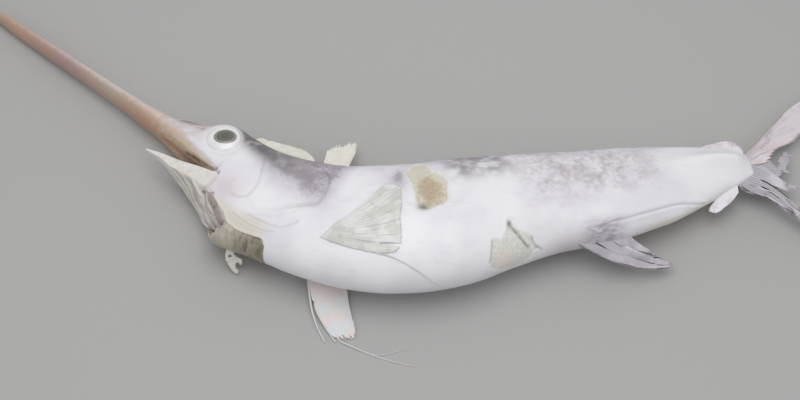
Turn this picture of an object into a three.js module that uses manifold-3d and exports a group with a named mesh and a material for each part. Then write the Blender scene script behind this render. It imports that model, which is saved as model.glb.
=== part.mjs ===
// A dead swordfish as the tide leaves it: lying on its right flank, left side up, head to the left,
// back away from the viewer. The neck is bent back, the mouth gapes, the throat is torn and the fins frayed.
// Millimetres, +Z up, floor at z = 0. The origin is on the floor, under the flat where the trunk rests.
import * as THREE from "three";
import { mergeVertices } from "three/addons/utils/BufferGeometryUtils.js";
import Module from "manifold-3d";

const wasm = await Module();
wasm.setup();

// Driving sizes. Stations run along the backbone from the end of the snout (0) to the root of the tail fin.
const GAP = 0.3;
const FLOOR = 0;
const TRUNK_CUTS = [430, 650, 960, 1270];
const TAIL_ROOT = 1560;
const BILL_LENGTH = 740;
const BILL_TIP_HEIGHT = 18;
const BILL_LIFT = 1;
const EYE_STATION = 186;
const EYE_DIAMETER = 81;
const JAW_TIP = 22;
const JAW_REAR = 264;
const COVER_THICKNESS = 5;

// Where the backbone passes over the floor. The first three points are the straight line of skull and bill.
const BACKBONE = [
  [-591, 314, 50],
  [-497, 240, 59],
  [-402, 166, 69],
  [-354, 130, 75],
  [-278, 81, 82],
  [-175, 32, 88],
  [-83, 6, 92],
  [11, 1, 94],
  [110, 15, 93],
  [226, 46, 86],
  [348, 79, 79],
  [464, 106, 74],
  [583, 137, 69],
  [703, 171, 62],
  [792, 192, 56],
  [852, 201, 50],
];

// Body sections: station, height of the back, depth of the belly, half width, squareness above and below,
// roll in degrees.
const SECTIONS = [
  [0, 35, 22, 38, 1.8, 1.8, 8],
  [40, 45, 27, 43, 2.1, 2.2, 8],
  [93, 61, 35, 52, 2.5, 2.4, 8],
  [156, 82, 46, 60, 3.2, 2.5, 8],
  [200, 92, 54, 64, 4.2, 2.5, 8],
  [236, 96, 60, 67, 3.8, 2.5, 8],
  [250, 97, 112, 69, 3.4, 2.1, 8],
  [275, 98, 144, 73, 3.0, 2.0, 8],
  [310, 100, 161, 80, 2.6, 2.0, 8],
  [390, 115, 167, 91, 2.2, 2.0, 7],
  [505, 138, 168, 96, 2.2, 2.0, 6],
  [600, 159, 170, 100, 2.2, 2.0, 6],
  [695, 166, 172, 104, 2.2, 2.0, 6],
  [795, 166, 169, 103, 2.1, 2.0, 6],
  [915, 155, 150, 95, 2.1, 2.0, 6],
  [1041, 138, 139, 83, 2.1, 2.0, 7],
  [1160, 124, 139, 74, 2.0, 2.0, 7],
  [1283, 107, 128, 62, 2.0, 2.0, 8],
  [1408, 79, 97, 44, 2.0, 2.0, 8],
  [1475, 65, 70, 32, 2.0, 2.0, 8],
  [1512, 60, 57, 23, 2.0, 2.0, 8],
  [1540, 52, 40, 13, 2.0, 2.0, 8],
  [1560, 36, 26, 5, 2.0, 2.0, 8],
];

// Side keels of the tail stock: station and height.
const KEEL = [
  [1290, 0],
  [1380, 9],
  [1455, 19],
  [1512, 20],
  [1545, 9],
  [1560, 2],
];
const KEEL_THICKNESS = 24;

const radians = THREE.MathUtils.degToRad;
const lerp = THREE.MathUtils.lerp;
const clamp = THREE.MathUtils.clamp;
const smooth = (low, high, value) => THREE.MathUtils.smoothstep(value, low, high);
const vector = (x, y, z) => new THREE.Vector3(x, y, z);

// A repeatable random number between 0 and 1.
function seeded(seed) {
  let state = seed;
  return () => {
    state = (state * 16807) % 2147483647;
    return state / 2147483647;
  };
}

// A smooth function through [x, y] pairs that never overshoots them.
function profile(pairs) {
  const secant = (i) => (pairs[i + 1][1] - pairs[i][1]) / (pairs[i + 1][0] - pairs[i][0]);
  const last = pairs.length - 1;
  const slopes = pairs.map((_, i) => {
    if (i === 0) return secant(0);
    if (i === last) return secant(last - 1);
    const before = secant(i - 1);
    const after = secant(i);
    return before * after <= 0 ? 0 : (2 * before * after) / (before + after);
  });
  return (x) => {
    if (x <= pairs[0][0]) return pairs[0][1];
    if (x >= pairs[last][0]) return pairs[last][1];
    let i = 0;
    while (x > pairs[i + 1][0]) i += 1;
    const width = pairs[i + 1][0] - pairs[i][0];
    const t = (x - pairs[i][0]) / width;
    const a = pairs[i][1] * (1 + 2 * t) * (1 - t) ** 2 + pairs[i + 1][1] * t * t * (3 - 2 * t);
    return a + width * (slopes[i] * t * (1 - t) ** 2 - slopes[i + 1] * t * t * (1 - t));
  };
}

const column = (n) => profile(SECTIONS.map((row) => [row[0], row[n]]));
const backHeight = column(1);
const bellyDepth = column(2);
const halfWidth = column(3);
const squareAbove = column(4);
const squareBelow = column(5);
const rollAt = column(6);
const keelHeight = profile(KEEL);

// Solids: a closed loft through rings of points, and the way to manifold-3d and back.
function closedLoft(rings) {
  const sides = rings[0].length;
  const points = rings.flat();
  const faces = [];
  rings.slice(1).forEach((_, r) => {
    for (let i = 0; i < sides; i += 1) {
      const a = r * sides + i;
      const b = r * sides + ((i + 1) % sides);
      faces.push(a, b, b + sides, a, b + sides, a + sides);
    }
  });
  [rings[0], rings[rings.length - 1]].forEach((ring, end) => {
    const centre = ring.reduce((sum, p) => sum.add(p), vector(0, 0, 0)).divideScalar(sides);
    const middle = points.push(centre) - 1;
    const first = end ? (rings.length - 1) * sides : 0;
    for (let i = 0; i < sides; i += 1) {
      const a = first + i;
      const b = first + ((i + 1) % sides);
      faces.push(...(end ? [middle, a, b] : [middle, b, a]));
    }
  });
  return facesOf(points, faces);
}

function facesOf(points, faces) {
  const geometry = new THREE.BufferGeometry().setFromPoints(points);
  geometry.setIndex(faces);
  return geometry;
}

function solid(geometry) {
  const plain = geometry.clone();
  plain.deleteAttribute("normal");
  plain.deleteAttribute("uv");
  const merged = mergeVertices(plain, 1e-4);
  const made = new wasm.Manifold(
    new wasm.Mesh({
      numProp: 3,
      vertProperties: new Float32Array(merged.attributes.position.array),
      triVerts: new Uint32Array(merged.index.array),
    }),
  );
  if (made.volume() >= 0) return made;
  const turned = Uint32Array.from(merged.index.array);
  for (let i = 0; i < turned.length; i += 3) {
    [turned[i + 1], turned[i + 2]] = [turned[i + 2], turned[i + 1]];
  }
  return new wasm.Manifold(
    new wasm.Mesh({
      numProp: 3,
      vertProperties: new Float32Array(merged.attributes.position.array),
      triVerts: turned,
    }),
  );
}

// Only the largest closed surface of a cut solid is kept.
function largest(made) {
  return made.decompose().reduce((best, piece) => (piece.volume() > best.volume() ? piece : best));
}

function geometryOf(made) {
  const mesh = made.getMesh();
  const geometry = new THREE.BufferGeometry();
  geometry.setAttribute("position", new THREE.BufferAttribute(mesh.vertProperties, mesh.numProp));
  geometry.setIndex(new THREE.BufferAttribute(mesh.triVerts, 1));
  return geometry;
}

// A thin solid between two grids of points, its faces split into triangles alike on both sides.
function slab(top, bottom) {
  const columns = top.length;
  const rows = top[0].length;
  const shift = columns * rows;
  const number = (i, j) => i * rows + j;
  const faces = [];
  for (let i = 0; i < columns - 1; i += 1) {
    for (let j = 0; j < rows - 1; j += 1) {
      const [a, b, c, d] = [number(i, j), number(i + 1, j), number(i + 1, j + 1), number(i, j + 1)];
      faces.push(a, b, c, a, c, d, a + shift, c + shift, b + shift, a + shift, d + shift, c + shift);
    }
  }
  const rim = [];
  for (let i = 0; i < columns - 1; i += 1) rim.push(number(i, 0));
  for (let j = 0; j < rows - 1; j += 1) rim.push(number(columns - 1, j));
  for (let i = columns - 1; i > 0; i -= 1) rim.push(number(i, rows - 1));
  for (let j = rows - 1; j > 0; j -= 1) rim.push(number(0, j));
  rim.forEach((a, n) => {
    const b = rim[(n + 1) % rim.length];
    faces.push(a, a + shift, b + shift, a, b + shift, b);
  });
  return solid(facesOf([...top.flat(), ...bottom.flat()], faces));
}

const curve = (points) => {
  const line = new THREE.CatmullRomCurve3(points.map((p) => vector(...p)), false, "centripetal");
  line.arcLengthDivisions = 400;
  return line;
};

const model = new THREE.Group();

const SKIN = { color: 0xd9d5dc, roughness: 0.35 };
const BILL_HORN = { color: 0xa98372, roughness: 0.45 };
const FIN = { color: 0xc9c1c6, roughness: 0.5 };
const EYE = { color: 0xe9e9e6, roughness: 0.2 };
const TORN_FLESH = { color: 0xb7a98f, roughness: 0.6 };

function addNode(name, made, finish) {
  const material = new THREE.MeshStandardMaterial({ ...finish, metalness: 0 });
  const mesh = new THREE.Mesh(geometryOf(largest(made)), material);
  mesh.name = name;
  model.add(mesh);
}

// Backbone frames. Dorsal points to the back, left points up out of the left flank.
const spine = curve(BACKBONE);
spine.arcLengthDivisions = 600;
const SPINE_SCALE = spine.getLength() / TAIL_ROOT;

function frameAt(station) {
  const share = clamp(station / TAIL_ROOT, 0, 1);
  const centre = spine.getPointAt(share);
  const tail = spine.getTangentAt(share);
  const over = station - share * TAIL_ROOT;
  centre.addScaledVector(tail, over * SPINE_SCALE);
  const level = vector(-tail.y, tail.x, 0).normalize();
  const up = tail.clone().cross(level);
  const roll = radians(rollAt(station));
  const dorsal = level.clone().multiplyScalar(Math.cos(roll)).addScaledVector(up, -Math.sin(roll));
  const left = level.clone().multiplyScalar(Math.sin(roll)).addScaledVector(up, Math.cos(roll));
  return { centre, tail, dorsal, left };
}

// A point given by its height towards the back and its distance towards the left side, at one station.
function place(frame, dorsal, left) {
  return frame.centre.clone().addScaledVector(frame.dorsal, dorsal).addScaledVector(frame.left, left);
}

// The flank that lies on the floor is pressed flat, in the plane of its own section.
function pressFlat(point, frame, floor) {
  if (point.z < floor) point.addScaledVector(frame.left, (floor - point.z) / frame.left.z);
  return point;
}

const bend = (value, power) => Math.sign(value) * Math.abs(value) ** power;

// Where the eyes sit. The upper one stands proud in a raised ring of hide, the lower one is pressed in
// by the floor.
const EYE_HEIGHT = 33;
const EYE_SINK = { left: 59, right: 55 };
const EYE_TURN = { left: -4, right: 0 };
const ORBIT_REACH = 66;
const ORBIT_LEVEL = 1.5;

function eyePlace(side) {
  const which = side > 0 ? "left" : "right";
  const frame = frameAt(EYE_STATION);
  const turn = radians(EYE_TURN[which]);
  const facing = frame.left.clone().multiplyScalar(side * Math.cos(turn));
  facing.addScaledVector(frame.dorsal, Math.sin(turn));
  return { centre: place(frame, EYE_HEIGHT, side * EYE_SINK[which]), facing };
}

const upperEye = eyePlace(1);

// The hide within reach of the upper eye is drawn up to its rim.
function drawToEye(point, grow) {
  const off = point.clone().sub(upperEye.centre);
  const out = off.dot(upperEye.facing);
  const radius = off.addScaledVector(upperEye.facing, -out).length();
  const held = (1 - smooth(EYE_DIAMETER / 2, ORBIT_REACH, radius)) * smooth(-34, -14, out);
  return point.addScaledVector(upperEye.facing, held * (ORBIT_LEVEL + grow - out));
}

// Skin of the body. Angle 0 is the left side, 90 the back, 180 the right side, 270 the belly; grow swells it.
function skinPoint(station, angle, grow = 0) {
  const frame = frameAt(station);
  const c = Math.cos(radians(angle));
  const k = Math.sin(radians(angle));
  const power = 2 / (k > 0 ? squareAbove(station) : squareBelow(station));
  const dorsal = ((k > 0 ? backHeight(station) : bellyDepth(station)) + grow) * bend(k, power);
  const keel = keelHeight(station) * Math.exp(-((dorsal / KEEL_THICKNESS) ** 2));
  const left = (halfWidth(station) + grow) * bend(c, power) + Math.sign(c) * keel * Math.abs(c);
  return drawToEye(pressFlat(place(frame, dorsal, left), frame, FLOOR - grow), grow);
}

const BODY_SIDES = 36;

// The trunk is cut into lengths; each has its own stations, and cutting bodies run through the same ones.
function stationsBetween(from, to, step) {
  const count = Math.max(2, Math.round((to - from) / step));
  return Array.from({ length: count + 1 }, (_, i) => lerp(from, to, i / count));
}

const LENGTHS = [
  { name: "head", from: 0, to: TRUNK_CUTS[0], step: 24 },
  { name: "torso_front", from: TRUNK_CUTS[0], to: TRUNK_CUTS[1], step: 36 },
  { name: "torso_middle", from: TRUNK_CUTS[1], to: TRUNK_CUTS[2], step: 40 },
  { name: "torso_rear", from: TRUNK_CUTS[2], to: TRUNK_CUTS[3], step: 39 },
  { name: "tail_stock", from: TRUNK_CUTS[3], to: TAIL_ROOT, step: 24 },
].map(({ name, from, to, step }) => ({
  name,
  stations: stationsBetween(from ? from + GAP / 2 : 0, to - GAP / 2, step),
}));

function bodyThrough(stations, grow = 0) {
  const rings = stations.map((station) =>
    Array.from({ length: BODY_SIDES }, (_, j) => skinPoint(station, (360 * j) / BODY_SIDES, grow)),
  );
  return solid(closedLoft(rings));
}

const allStations = LENGTHS.flatMap(({ stations }) => stations);
const bodyWithGap = bodyThrough(allStations, GAP);

// Eyes: a flattened ball, its rim a little under the skin.
const EYE_DOME = 13;
const EYE_BACK = 24;
const EYE_STEPS = 10;

function eyeBall(side, swell) {
  const outline = Array.from({ length: EYE_STEPS + 1 }, (_, i) => {
    const angle = radians(-90 + (180 * i) / EYE_STEPS);
    const depth = Math.sin(angle) > 0 ? EYE_DOME : EYE_BACK;
    return new THREE.Vector2((EYE_DIAMETER / 2 + swell) * Math.cos(angle), (depth + swell) * Math.sin(angle));
  });
  outline[0].x = 0;
  outline[EYE_STEPS].x = 0;
  const { centre, facing } = eyePlace(side);
  const turned = new THREE.Quaternion().setFromUnitVectors(vector(0, 1, 0), facing);
  const ball = new THREE.LatheGeometry(outline, 22).applyQuaternion(turned);
  return solid(ball.translate(centre.x, centre.y, centre.z));
}

// A flap or sheet that follows the skin: fans of points from its middle to its outline, in stations and
// angles. under and over give the height of its two faces above the skin, by share from the middle (0) to
// the rim (1), share round the rim, station and angle.
function skinSheet({ outline, middle, rings, sectors, under, over }) {
  const rim = new THREE.CatmullRomCurve3(outline.map(([st, an]) => vector(st, an, 0)), true, "centripetal");
  rim.arcLengthDivisions = 400;
  const face = (height) => {
    const points = [skinPoint(...middle, height(0, 0, ...middle))];
    for (let r = 1; r <= rings; r += 1) {
      for (let i = 0; i < sectors; i += 1) {
        const edge = rim.getPointAt(i / sectors);
        const out = r / rings;
        const st = lerp(middle[0], edge.x, out);
        const an = lerp(middle[1], edge.y, out);
        points.push(skinPoint(st, an, height(out, i / sectors, st, an)));
      }
    }
    return points;
  };
  const top = face(over);
  const bottom = face(under);
  const shift = top.length;
  const faces = [];
  const at = (r, i) => 1 + (r - 1) * sectors + (i % sectors);
  for (let i = 0; i < sectors; i += 1) {
    faces.push(0, at(1, i), at(1, i + 1), shift, shift + at(1, i + 1), shift + at(1, i));
    for (let r = 1; r < rings; r += 1) {
      const [a, b, c, d] = [at(r, i), at(r + 1, i), at(r + 1, i + 1), at(r, i + 1)];
      faces.push(a, b, c, a, c, d, shift + a, shift + c, shift + b, shift + a, shift + d, shift + c);
    }
    const [a, b] = [at(rings, i), at(rings, i + 1)];
    faces.push(a, shift + a, shift + b, a, shift + b, b);
  }
  return solid(facesOf(top.concat(bottom), faces));
}

// Gill covers. The left one is raised at its free hind edge; the right one is pressed flush by the floor.
const COVER_OUTLINE = [
  [303, 22],
  [345, 28],
  [400, 31],
  [450, 32],
  [488, 24],
  [508, 8],
  [508, -8],
  [484, -15],
  [455, -21],
  [420, -30],
  [384, -36],
  [360, -30],
  [352, -14],
  [334, 6],
];
const COVER_MIDDLE = [425, 2];
const mirrored = ([st, an]) => [st, 180 - an];
const spread = (outline, [st0, an0], share) =>
  outline.map(([st, an]) => [st0 + (st - st0) * (1 + share), an0 + (an - an0) * (1 + share)]);
const rearward = (share) => 0.5 + 0.5 * Math.cos(2 * Math.PI * (share - 0.36));
const coverTop = (out, share) => lerp(2.2, lerp(0.8, COVER_THICKNESS, rearward(share)), out);
const leftCover = skinSheet({
  outline: COVER_OUTLINE,
  middle: COVER_MIDDLE,
  rings: 4,
  sectors: 40,
  under: () => -2,
  over: coverTop,
});
const flushCover = (grow) =>
  skinSheet({
    outline: spread(COVER_OUTLINE, COVER_MIDDLE, grow / 50).map(mirrored),
    middle: mirrored(COVER_MIDDLE),
    rings: 2,
    sectors: 28,
    under: () => -COVER_THICKNESS - grow,
    over: () => 3 * grow,
  });
const rightCover = flushCover(0);
const rightRecess = flushCover(2 * GAP);

// Trunk and tail stock.
LENGTHS.slice(1).forEach(({ name, stations }) => {
  const length = bodyThrough(stations);
  addNode(name, name === "torso_front" ? length.subtract(rightRecess) : length, SKIN);
});

// Skull, snout and cheeks, with eye sockets, nostrils, the roof of the mouth and the torn gullet behind it.
const snout = frameAt(0);
const NOSTRILS = [
  { station: 118, dorsal: 30, long: 4, high: 7 },
  { station: 106, dorsal: 26, long: 3, high: 4 },
];
const PALATE = { station: 128, dorsal: -50, long: 96, high: 12, wide: 34 };
const GULLET = { station: 236, dorsal: -86, long: 40, high: 24, wide: 40 };

function ellipsoid({ station, dorsal, left = 0, long, high, wide }, sides) {
  const frame = frameAt(station);
  const ball = new THREE.SphereGeometry(1, sides, Math.round(sides * 0.6));
  const basis = new THREE.Matrix4().makeBasis(frame.tail, frame.dorsal, frame.left);
  ball.scale(long, high, wide).applyMatrix4(basis).translate(...place(frame, dorsal, left).toArray());
  return solid(ball);
}

let skull = bodyThrough(LENGTHS[0].stations).subtract(rightRecess);
[1, -1].forEach((side) => {
  skull = skull.subtract(eyeBall(side, GAP));
  NOSTRILS.forEach(({ station, dorsal, long, high }) => {
    const reach = side * halfWidth(station) * 0.93;
    skull = skull.subtract(ellipsoid({ station, dorsal, left: reach, long, high, wide: 6 }, 8));
  });
});
skull = skull.subtract(ellipsoid(PALATE, 16)).subtract(ellipsoid(GULLET, 16));
addNode("head", skull, SKIN);
const aboveFloor = solid(new THREE.BoxGeometry(4000, 4000, 800).translate(0, 0, 400 + FLOOR + GAP));
addNode("eye_left", eyeBall(1, 0), EYE);
addNode("eye_right", eyeBall(-1, 0).intersect(aboveFloor), EYE);
addNode("gill_cover_left", leftCover.subtract(bodyWithGap), SKIN);
addNode("gill_cover_right", rightCover.intersect(bodyThrough(allStations)), SKIN);

// Branchiostegal skin: the slack fold under the left gill cover.
const FOLD_OUTLINE = [
  [336, -36],
  [366, -34],
  [386, -40],
  [424, -34],
  [457, -25],
  [484, -20],
  [486, -34],
  [450, -44],
  [412, -50],
  [376, -52],
  [346, -46],
];
const foldSheet = skinSheet({
  outline: FOLD_OUTLINE,
  middle: [414, -41],
  rings: 3,
  sectors: 32,
  under: () => -2,
  over: (out, share) => lerp(3, 0.9 + 2.2 * rearward(share - 0.28), out),
});
const coverClearance = skinSheet({
  outline: spread(COVER_OUTLINE, COVER_MIDDLE, 0.01),
  middle: COVER_MIDDLE,
  rings: 4,
  sectors: 40,
  under: () => -4,
  over: (out, share) => coverTop(out, share) + 1,
});
addNode("gill_fold_left", foldSheet.subtract(bodyWithGap).subtract(coverClearance), SKIN);

// The sword: a flat blade with sharp side edges, a straight run on from the skull down to the floor.
const BILL_HALF_WIDTH = profile([
  [0, 40],
  [100, 35.5],
  [187, 32],
  [274, 30.5],
  [361, 30],
  [448, 28.5],
  [520, 26.5],
  [580, 22],
  [640, 16],
  [705, 9],
  [732, 4.5],
  [BILL_LENGTH, 1.5],
]);
const BILL_FLATNESS = profile([
  [0, 0.66],
  [60, 0.6],
  [200, 0.56],
  [BILL_LENGTH, 0.5],
]);
const BILL_RISE = profile([
  [0, 0],
  [120, 5],
  [520, 5],
  [BILL_LENGTH, 0],
]);
const BILL_STATIONS = [0, 24, 64, 110, 170, 240, 320, 400, 480, 560, 630, 680, 712, 732, BILL_LENGTH];
const BILL_SIDES = 20;
const BILL_ROOT_BLEND = 70;
const billTip = snout.centre.clone().addScaledVector(snout.tail, -BILL_LENGTH);
billTip.addScaledVector(snout.dorsal, BILL_LIFT).setZ(BILL_TIP_HEIGHT);
const billRoot = snout.centre.clone().addScaledVector(snout.tail, -GAP);
const billRings = BILL_STATIONS.map((out) => {
  const wide = BILL_HALF_WIDTH(out);
  const high = wide * BILL_FLATNESS(out);
  const blend = smooth(0, BILL_ROOT_BLEND, out);
  const centre = billRoot.clone().lerp(billTip, out / BILL_LENGTH);
  return Array.from({ length: BILL_SIDES }, (_, i) => {
    const c = Math.cos(radians((360 * i) / BILL_SIDES));
    const k = Math.sin(radians((360 * i) / BILL_SIDES));
    const blunt = 2 / lerp(1.75, 1.8, clamp(out / 200, 0, 1));
    const rootPower = 2 / (k > 0 ? squareAbove(0) : squareBelow(0));
    const rootHigh = k > 0 ? backHeight(0) : bellyDepth(0);
    const left = lerp(halfWidth(0) * bend(c, rootPower), wide * bend(c, blunt), blend);
    const dorsal = lerp(rootHigh * bend(k, rootPower), high * bend(k, blunt), blend) + BILL_RISE(out);
    return centre.clone().addScaledVector(snout.dorsal, dorsal).addScaledVector(snout.left, left);
  });
});
addNode("bill", solid(closedLoft(billRings)), BILL_HORN);

// Lower jaw: two blades that meet at the chin, with the slack skin of the throat slung between their
// lower edges.
const JAW_HALF_WIDTH = profile([
  [JAW_TIP, 1.5],
  [74, 15],
  [122, 26],
  [144, 32],
  [189, 46],
  [229, 57],
  [256, 64],
  [374, 74],
]);
const JAW_TOP = profile([
  [JAW_TIP, -74],
  [74, -68],
  [133, -65],
  [186, -61],
  [256, -58],
  [374, -50],
]);
const NEAR_EDGE = [
  [JAW_TIP, -77, 1],
  [74, -80, 11],
  [128, -90, 22],
  [179, -90, 30],
  [213, -94, 36],
  [247, -99, 42],
  [273, -104, 46],
  [305, -116, 47],
];
const FAR_EDGE = [
  [JAW_TIP, -77, -1],
  [81, -78, -14],
  [116, -84, -24],
  [146, -89, -34],
  [181, -99, -44],
  [223, -113, -52],
  [262, -134, -48],
  [288, -140, -40],
];
const rail = (dots) => [1, 2].map((n) => profile(dots.map((dot) => [dot[0], dot[n]])));
const nearRail = rail(NEAR_EDGE);
const farRail = rail(FAR_EDGE);
const JAW_STATIONS = [JAW_TIP, 36, 54, 74, 96, 120, 146, 172, 198, 222, 244, JAW_REAR];
const JAW_COLUMNS = [
  [0, 1],
  [0, 0.5],
  [0, 0],
  [0.16, 0],
  [0.33, 0],
  [0.5, 0],
  [0.67, 0],
  [0.84, 0],
  [1, 0],
  [1, 0.5],
  [1, 1],
];

// across runs from the near blade (0) to the far one (1), rising from the lower edge of a blade (0) to its
// top (1).
function jawPoint(station, across, rising, thick) {
  const frame = frameAt(station);
  const wide = JAW_HALF_WIDTH(station);
  const top = JAW_TOP(station);
  const bow = 0.07 * wide * Math.sin(Math.PI * rising);
  const sag = 20 * across * (1 - across) * smooth(40, 190, station);
  const near = place(frame, nearRail[0](station), nearRail[1](station));
  const far = place(frame, farRail[0](station), farRail[1](station));
  const point = near.lerp(far, across).addScaledVector(frame.dorsal, -sag);
  const topEdge = place(frame, top, across ? -1.08 * wide : 0.96 * wide);
  point.lerp(topEdge, rising).addScaledVector(frame.left, across ? -bow : bow);
  const inward = frame.dorsal.clone().multiplyScalar(1 - rising);
  if (across === 0) inward.addScaledVector(frame.left, -1);
  if (across === 1) inward.addScaledVector(frame.left, 1);
  return point.addScaledVector(inward.normalize(), Math.min(thick, wide * 0.45 + 0.4));
}

const jawGrid = (thick) =>
  JAW_STATIONS.map((station) =>
    JAW_COLUMNS.map(([across, rising]) =>
      jawPoint(station, across, rising, rising ? thick.blade : thick.skin),
    ),
  );
const jaw = slab(jawGrid({ blade: 0, skin: 0 }), jawGrid({ blade: 7, skin: 4 }));
addNode("lower_jaw", jaw.subtract(bodyWithGap), SKIN);

// Torn throat: slack ragged meat laid bare round the underside of the head, behind the jaw.
const throatNoise = seeded(71);
const jitter = (dots) =>
  dots.map(([st, an]) => [st + 5 * (throatNoise() - 0.5), an + 2 * (throatNoise() - 0.5)]);
const THROAT_OUTLINE = [
  ...jitter([
    [342, -60], [331, -75], [322, -83], [313, -90], [302, -98], [292, -105], [275, -120], [264, -138],
  ]),
  [300, -146],
  [370, -146],
  ...jitter([[436, -143], [438, -125], [437, -110], [439, -96], [436, -84], [438, -72]]),
  [436, -61],
  [412, -60],
  [371, -61],
];
const THROAT_SAG = profile([
  [260, 8],
  [276, 12],
  [294, 12],
  [317, 17],
  [340, 16],
  [362, 10],
  [386, 4],
  [420, 2.4],
  [440, 2],
]);
const throat = skinSheet({
  outline: THROAT_OUTLINE,
  middle: [366, -102],
  rings: 4,
  sectors: 44,
  under: () => -2,
  over: (out, share, st, an) => {
    const slack = Math.max(THROAT_SAG(st) * Math.exp(-(((an + 104) / 34) ** 2)), 2);
    return lerp(slack, 2, out ** 4) + 0.9 * Math.sin(share * 44 * Math.PI) * out;
  },
});
const meat = throat.subtract(bodyWithGap).intersect(aboveFloor).subtract(foldSheet).subtract(jaw);

// A shred of skin with a hole hangs from the meat to the floor. Its outline is measured across and down.
const SHRED_TOP = vector(-400, -44, 62);
const SHRED_ACROSS = vector(1, 0, 0);
const SHRED_DOWN = vector(0, -0.484, -0.875);
const SHRED_THICKNESS = 3;
const SHRED_OUTLINE = [
  [-3, -30],
  [11, -30],
  [12, 5],
  [19, 16],
  [30, 23],
  [32, 32],
  [26, 39],
  [18, 31],
  [14, 38],
  [16, 47],
  [22, 53],
  [19, 64],
  [9, 56],
  [0, 44],
  [-5, 30],
  [-8, 16],
  [-5, 4],
];
const SHRED_HOLE = { place: [4, -13], radius: 4.2 };
const shredOutline = new wasm.CrossSection([SHRED_OUTLINE.map(([x, y]) => [x, -y])], "EvenOdd");
const shredHole = wasm.CrossSection.circle(SHRED_HOLE.radius, 10).translate(SHRED_HOLE.place);
const shredUp = SHRED_DOWN.clone().negate();
const shredFacing = SHRED_ACROSS.clone().cross(shredUp);
const shredPlace = new THREE.Matrix4().makeBasis(SHRED_ACROSS, shredUp, shredFacing).setPosition(SHRED_TOP);
const shredPlate = shredOutline.subtract(shredHole).extrude(SHRED_THICKNESS);
const shred = shredPlate.transform(shredPlace.toArray()).intersect(aboveFloor);
addNode("throat", meat.add(shred.subtract(bodyWithGap)), TORN_FLESH);

// Fins: a sheet of rays and web. at(u, v) is the middle of the sheet: u from the first ray to the last,
// v from root to tip. Rays stand out as ridges on both faces; web and fray shorten the web and wear the tips.
function finSheet({ rays, rows, at, thick, thin, web, fray, seed }) {
  const random = seeded(seed);
  const columns = rays * 2 - 1;
  const grid = Array.from({ length: columns }, (_, i) => {
    const u = i / (columns - 1);
    const reach = (i % 2 ? web(u) : 1) * (1 - fray * random());
    return Array.from({ length: rows + 1 }, (__, j) => at(u, (j / rows) * reach));
  });
  const faceOf = (sign) =>
    grid.map((line, i) =>
      line.map((point, j) => {
        const across = grid[Math.min(i + 1, columns - 1)][j].clone().sub(grid[Math.max(i - 1, 0)][j]);
        const along = line[Math.min(j + 1, rows)].clone().sub(line[Math.max(j - 1, 0)]);
        const normal = across.cross(along).normalize();
        const ridge = i % 2 ? 0.6 : 1;
        const half = Math.max(0.35, 0.5 * ridge * lerp(thick(i / (columns - 1)), thin, (j / rows) ** 0.7));
        const rested = point.clone();
        rested.z = Math.max(rested.z, FLOOR + GAP + half);
        return rested.addScaledVector(normal, sign * half);
      }),
    );
  return slab(faceOf(1), faceOf(-1));
}

// A fin, or a bundle of its rays, between its first and its last ray.
function rayedStrip(front, rear, sheet) {
  const first = curve(front);
  const last = curve(rear);
  return finSheet({ ...sheet, at: (u, v) => first.getPointAt(v).lerp(last.getPointAt(v), u) });
}

// A fin spread from a line of roots to a line of tips; its rays curve as the first one does, less and less.
function rayedFan(firstRay, tips, root, sheet) {
  const [first, tipLine, rootLine] = [firstRay, tips, root].map(curve);
  return finSheet({
    ...sheet,
    at: (u, v) => {
      const chord = first.getPointAt(0).lerp(first.getPointAt(1), v);
      const bow = first.getPointAt(v).sub(chord);
      return rootLine.getPointAt(u).lerp(tipLine.getPointAt(u), v).addScaledVector(bow, (1 - u) ** 1.5);
    },
  });
}

// A single bare ray: a tapered cord along a smooth line.
function bareRay(points, thickStart, thickEnd, steps = 10, sides = 5) {
  const line = new THREE.CatmullRomCurve3(points);
  const rings = Array.from({ length: steps + 1 }, (_, i) => {
    const along = line.getTangent(i / steps);
    const across = vector(-along.y, along.x, 0).normalize();
    const up = along.clone().cross(across);
    const radius = lerp(thickStart, thickEnd, i / steps) / 2;
    const centre = line.getPoint(i / steps);
    centre.z = Math.max(centre.z, FLOOR + GAP + radius);
    return Array.from({ length: sides }, (__, j) => {
      const angle = (2 * Math.PI * j) / sides;
      const point = centre.clone().addScaledVector(across, radius * Math.cos(angle));
      return point.addScaledVector(up, radius * Math.sin(angle));
    });
  });
  return solid(closedLoft(rings));
}

// A point off the midline of the back (side 1) or the belly (side -1): station and height over the skin.
function midlinePoint(side, station, height) {
  const frame = frameAt(station);
  const skin = side > 0 ? backHeight(station) : -bellyDepth(station);
  return place(frame, skin + side * height, 0);
}

// A fin on the midline, from its root to its tips, all in stations and heights, with the droop of its
// own weight.
function midlineFin(side, root, tips, droop, sheet) {
  const rootLine = curve(root);
  const tipLine = curve(tips);
  return finSheet({
    ...sheet,
    at: (u, v) => {
      const spot = rootLine.getPointAt(u).lerp(tipLine.getPointAt(u), v);
      const point = midlinePoint(side, spot.x, spot.y);
      point.z -= droop * Math.max(spot.y / 107, 0) ** 1.5;
      return point;
    },
  });
}

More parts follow.
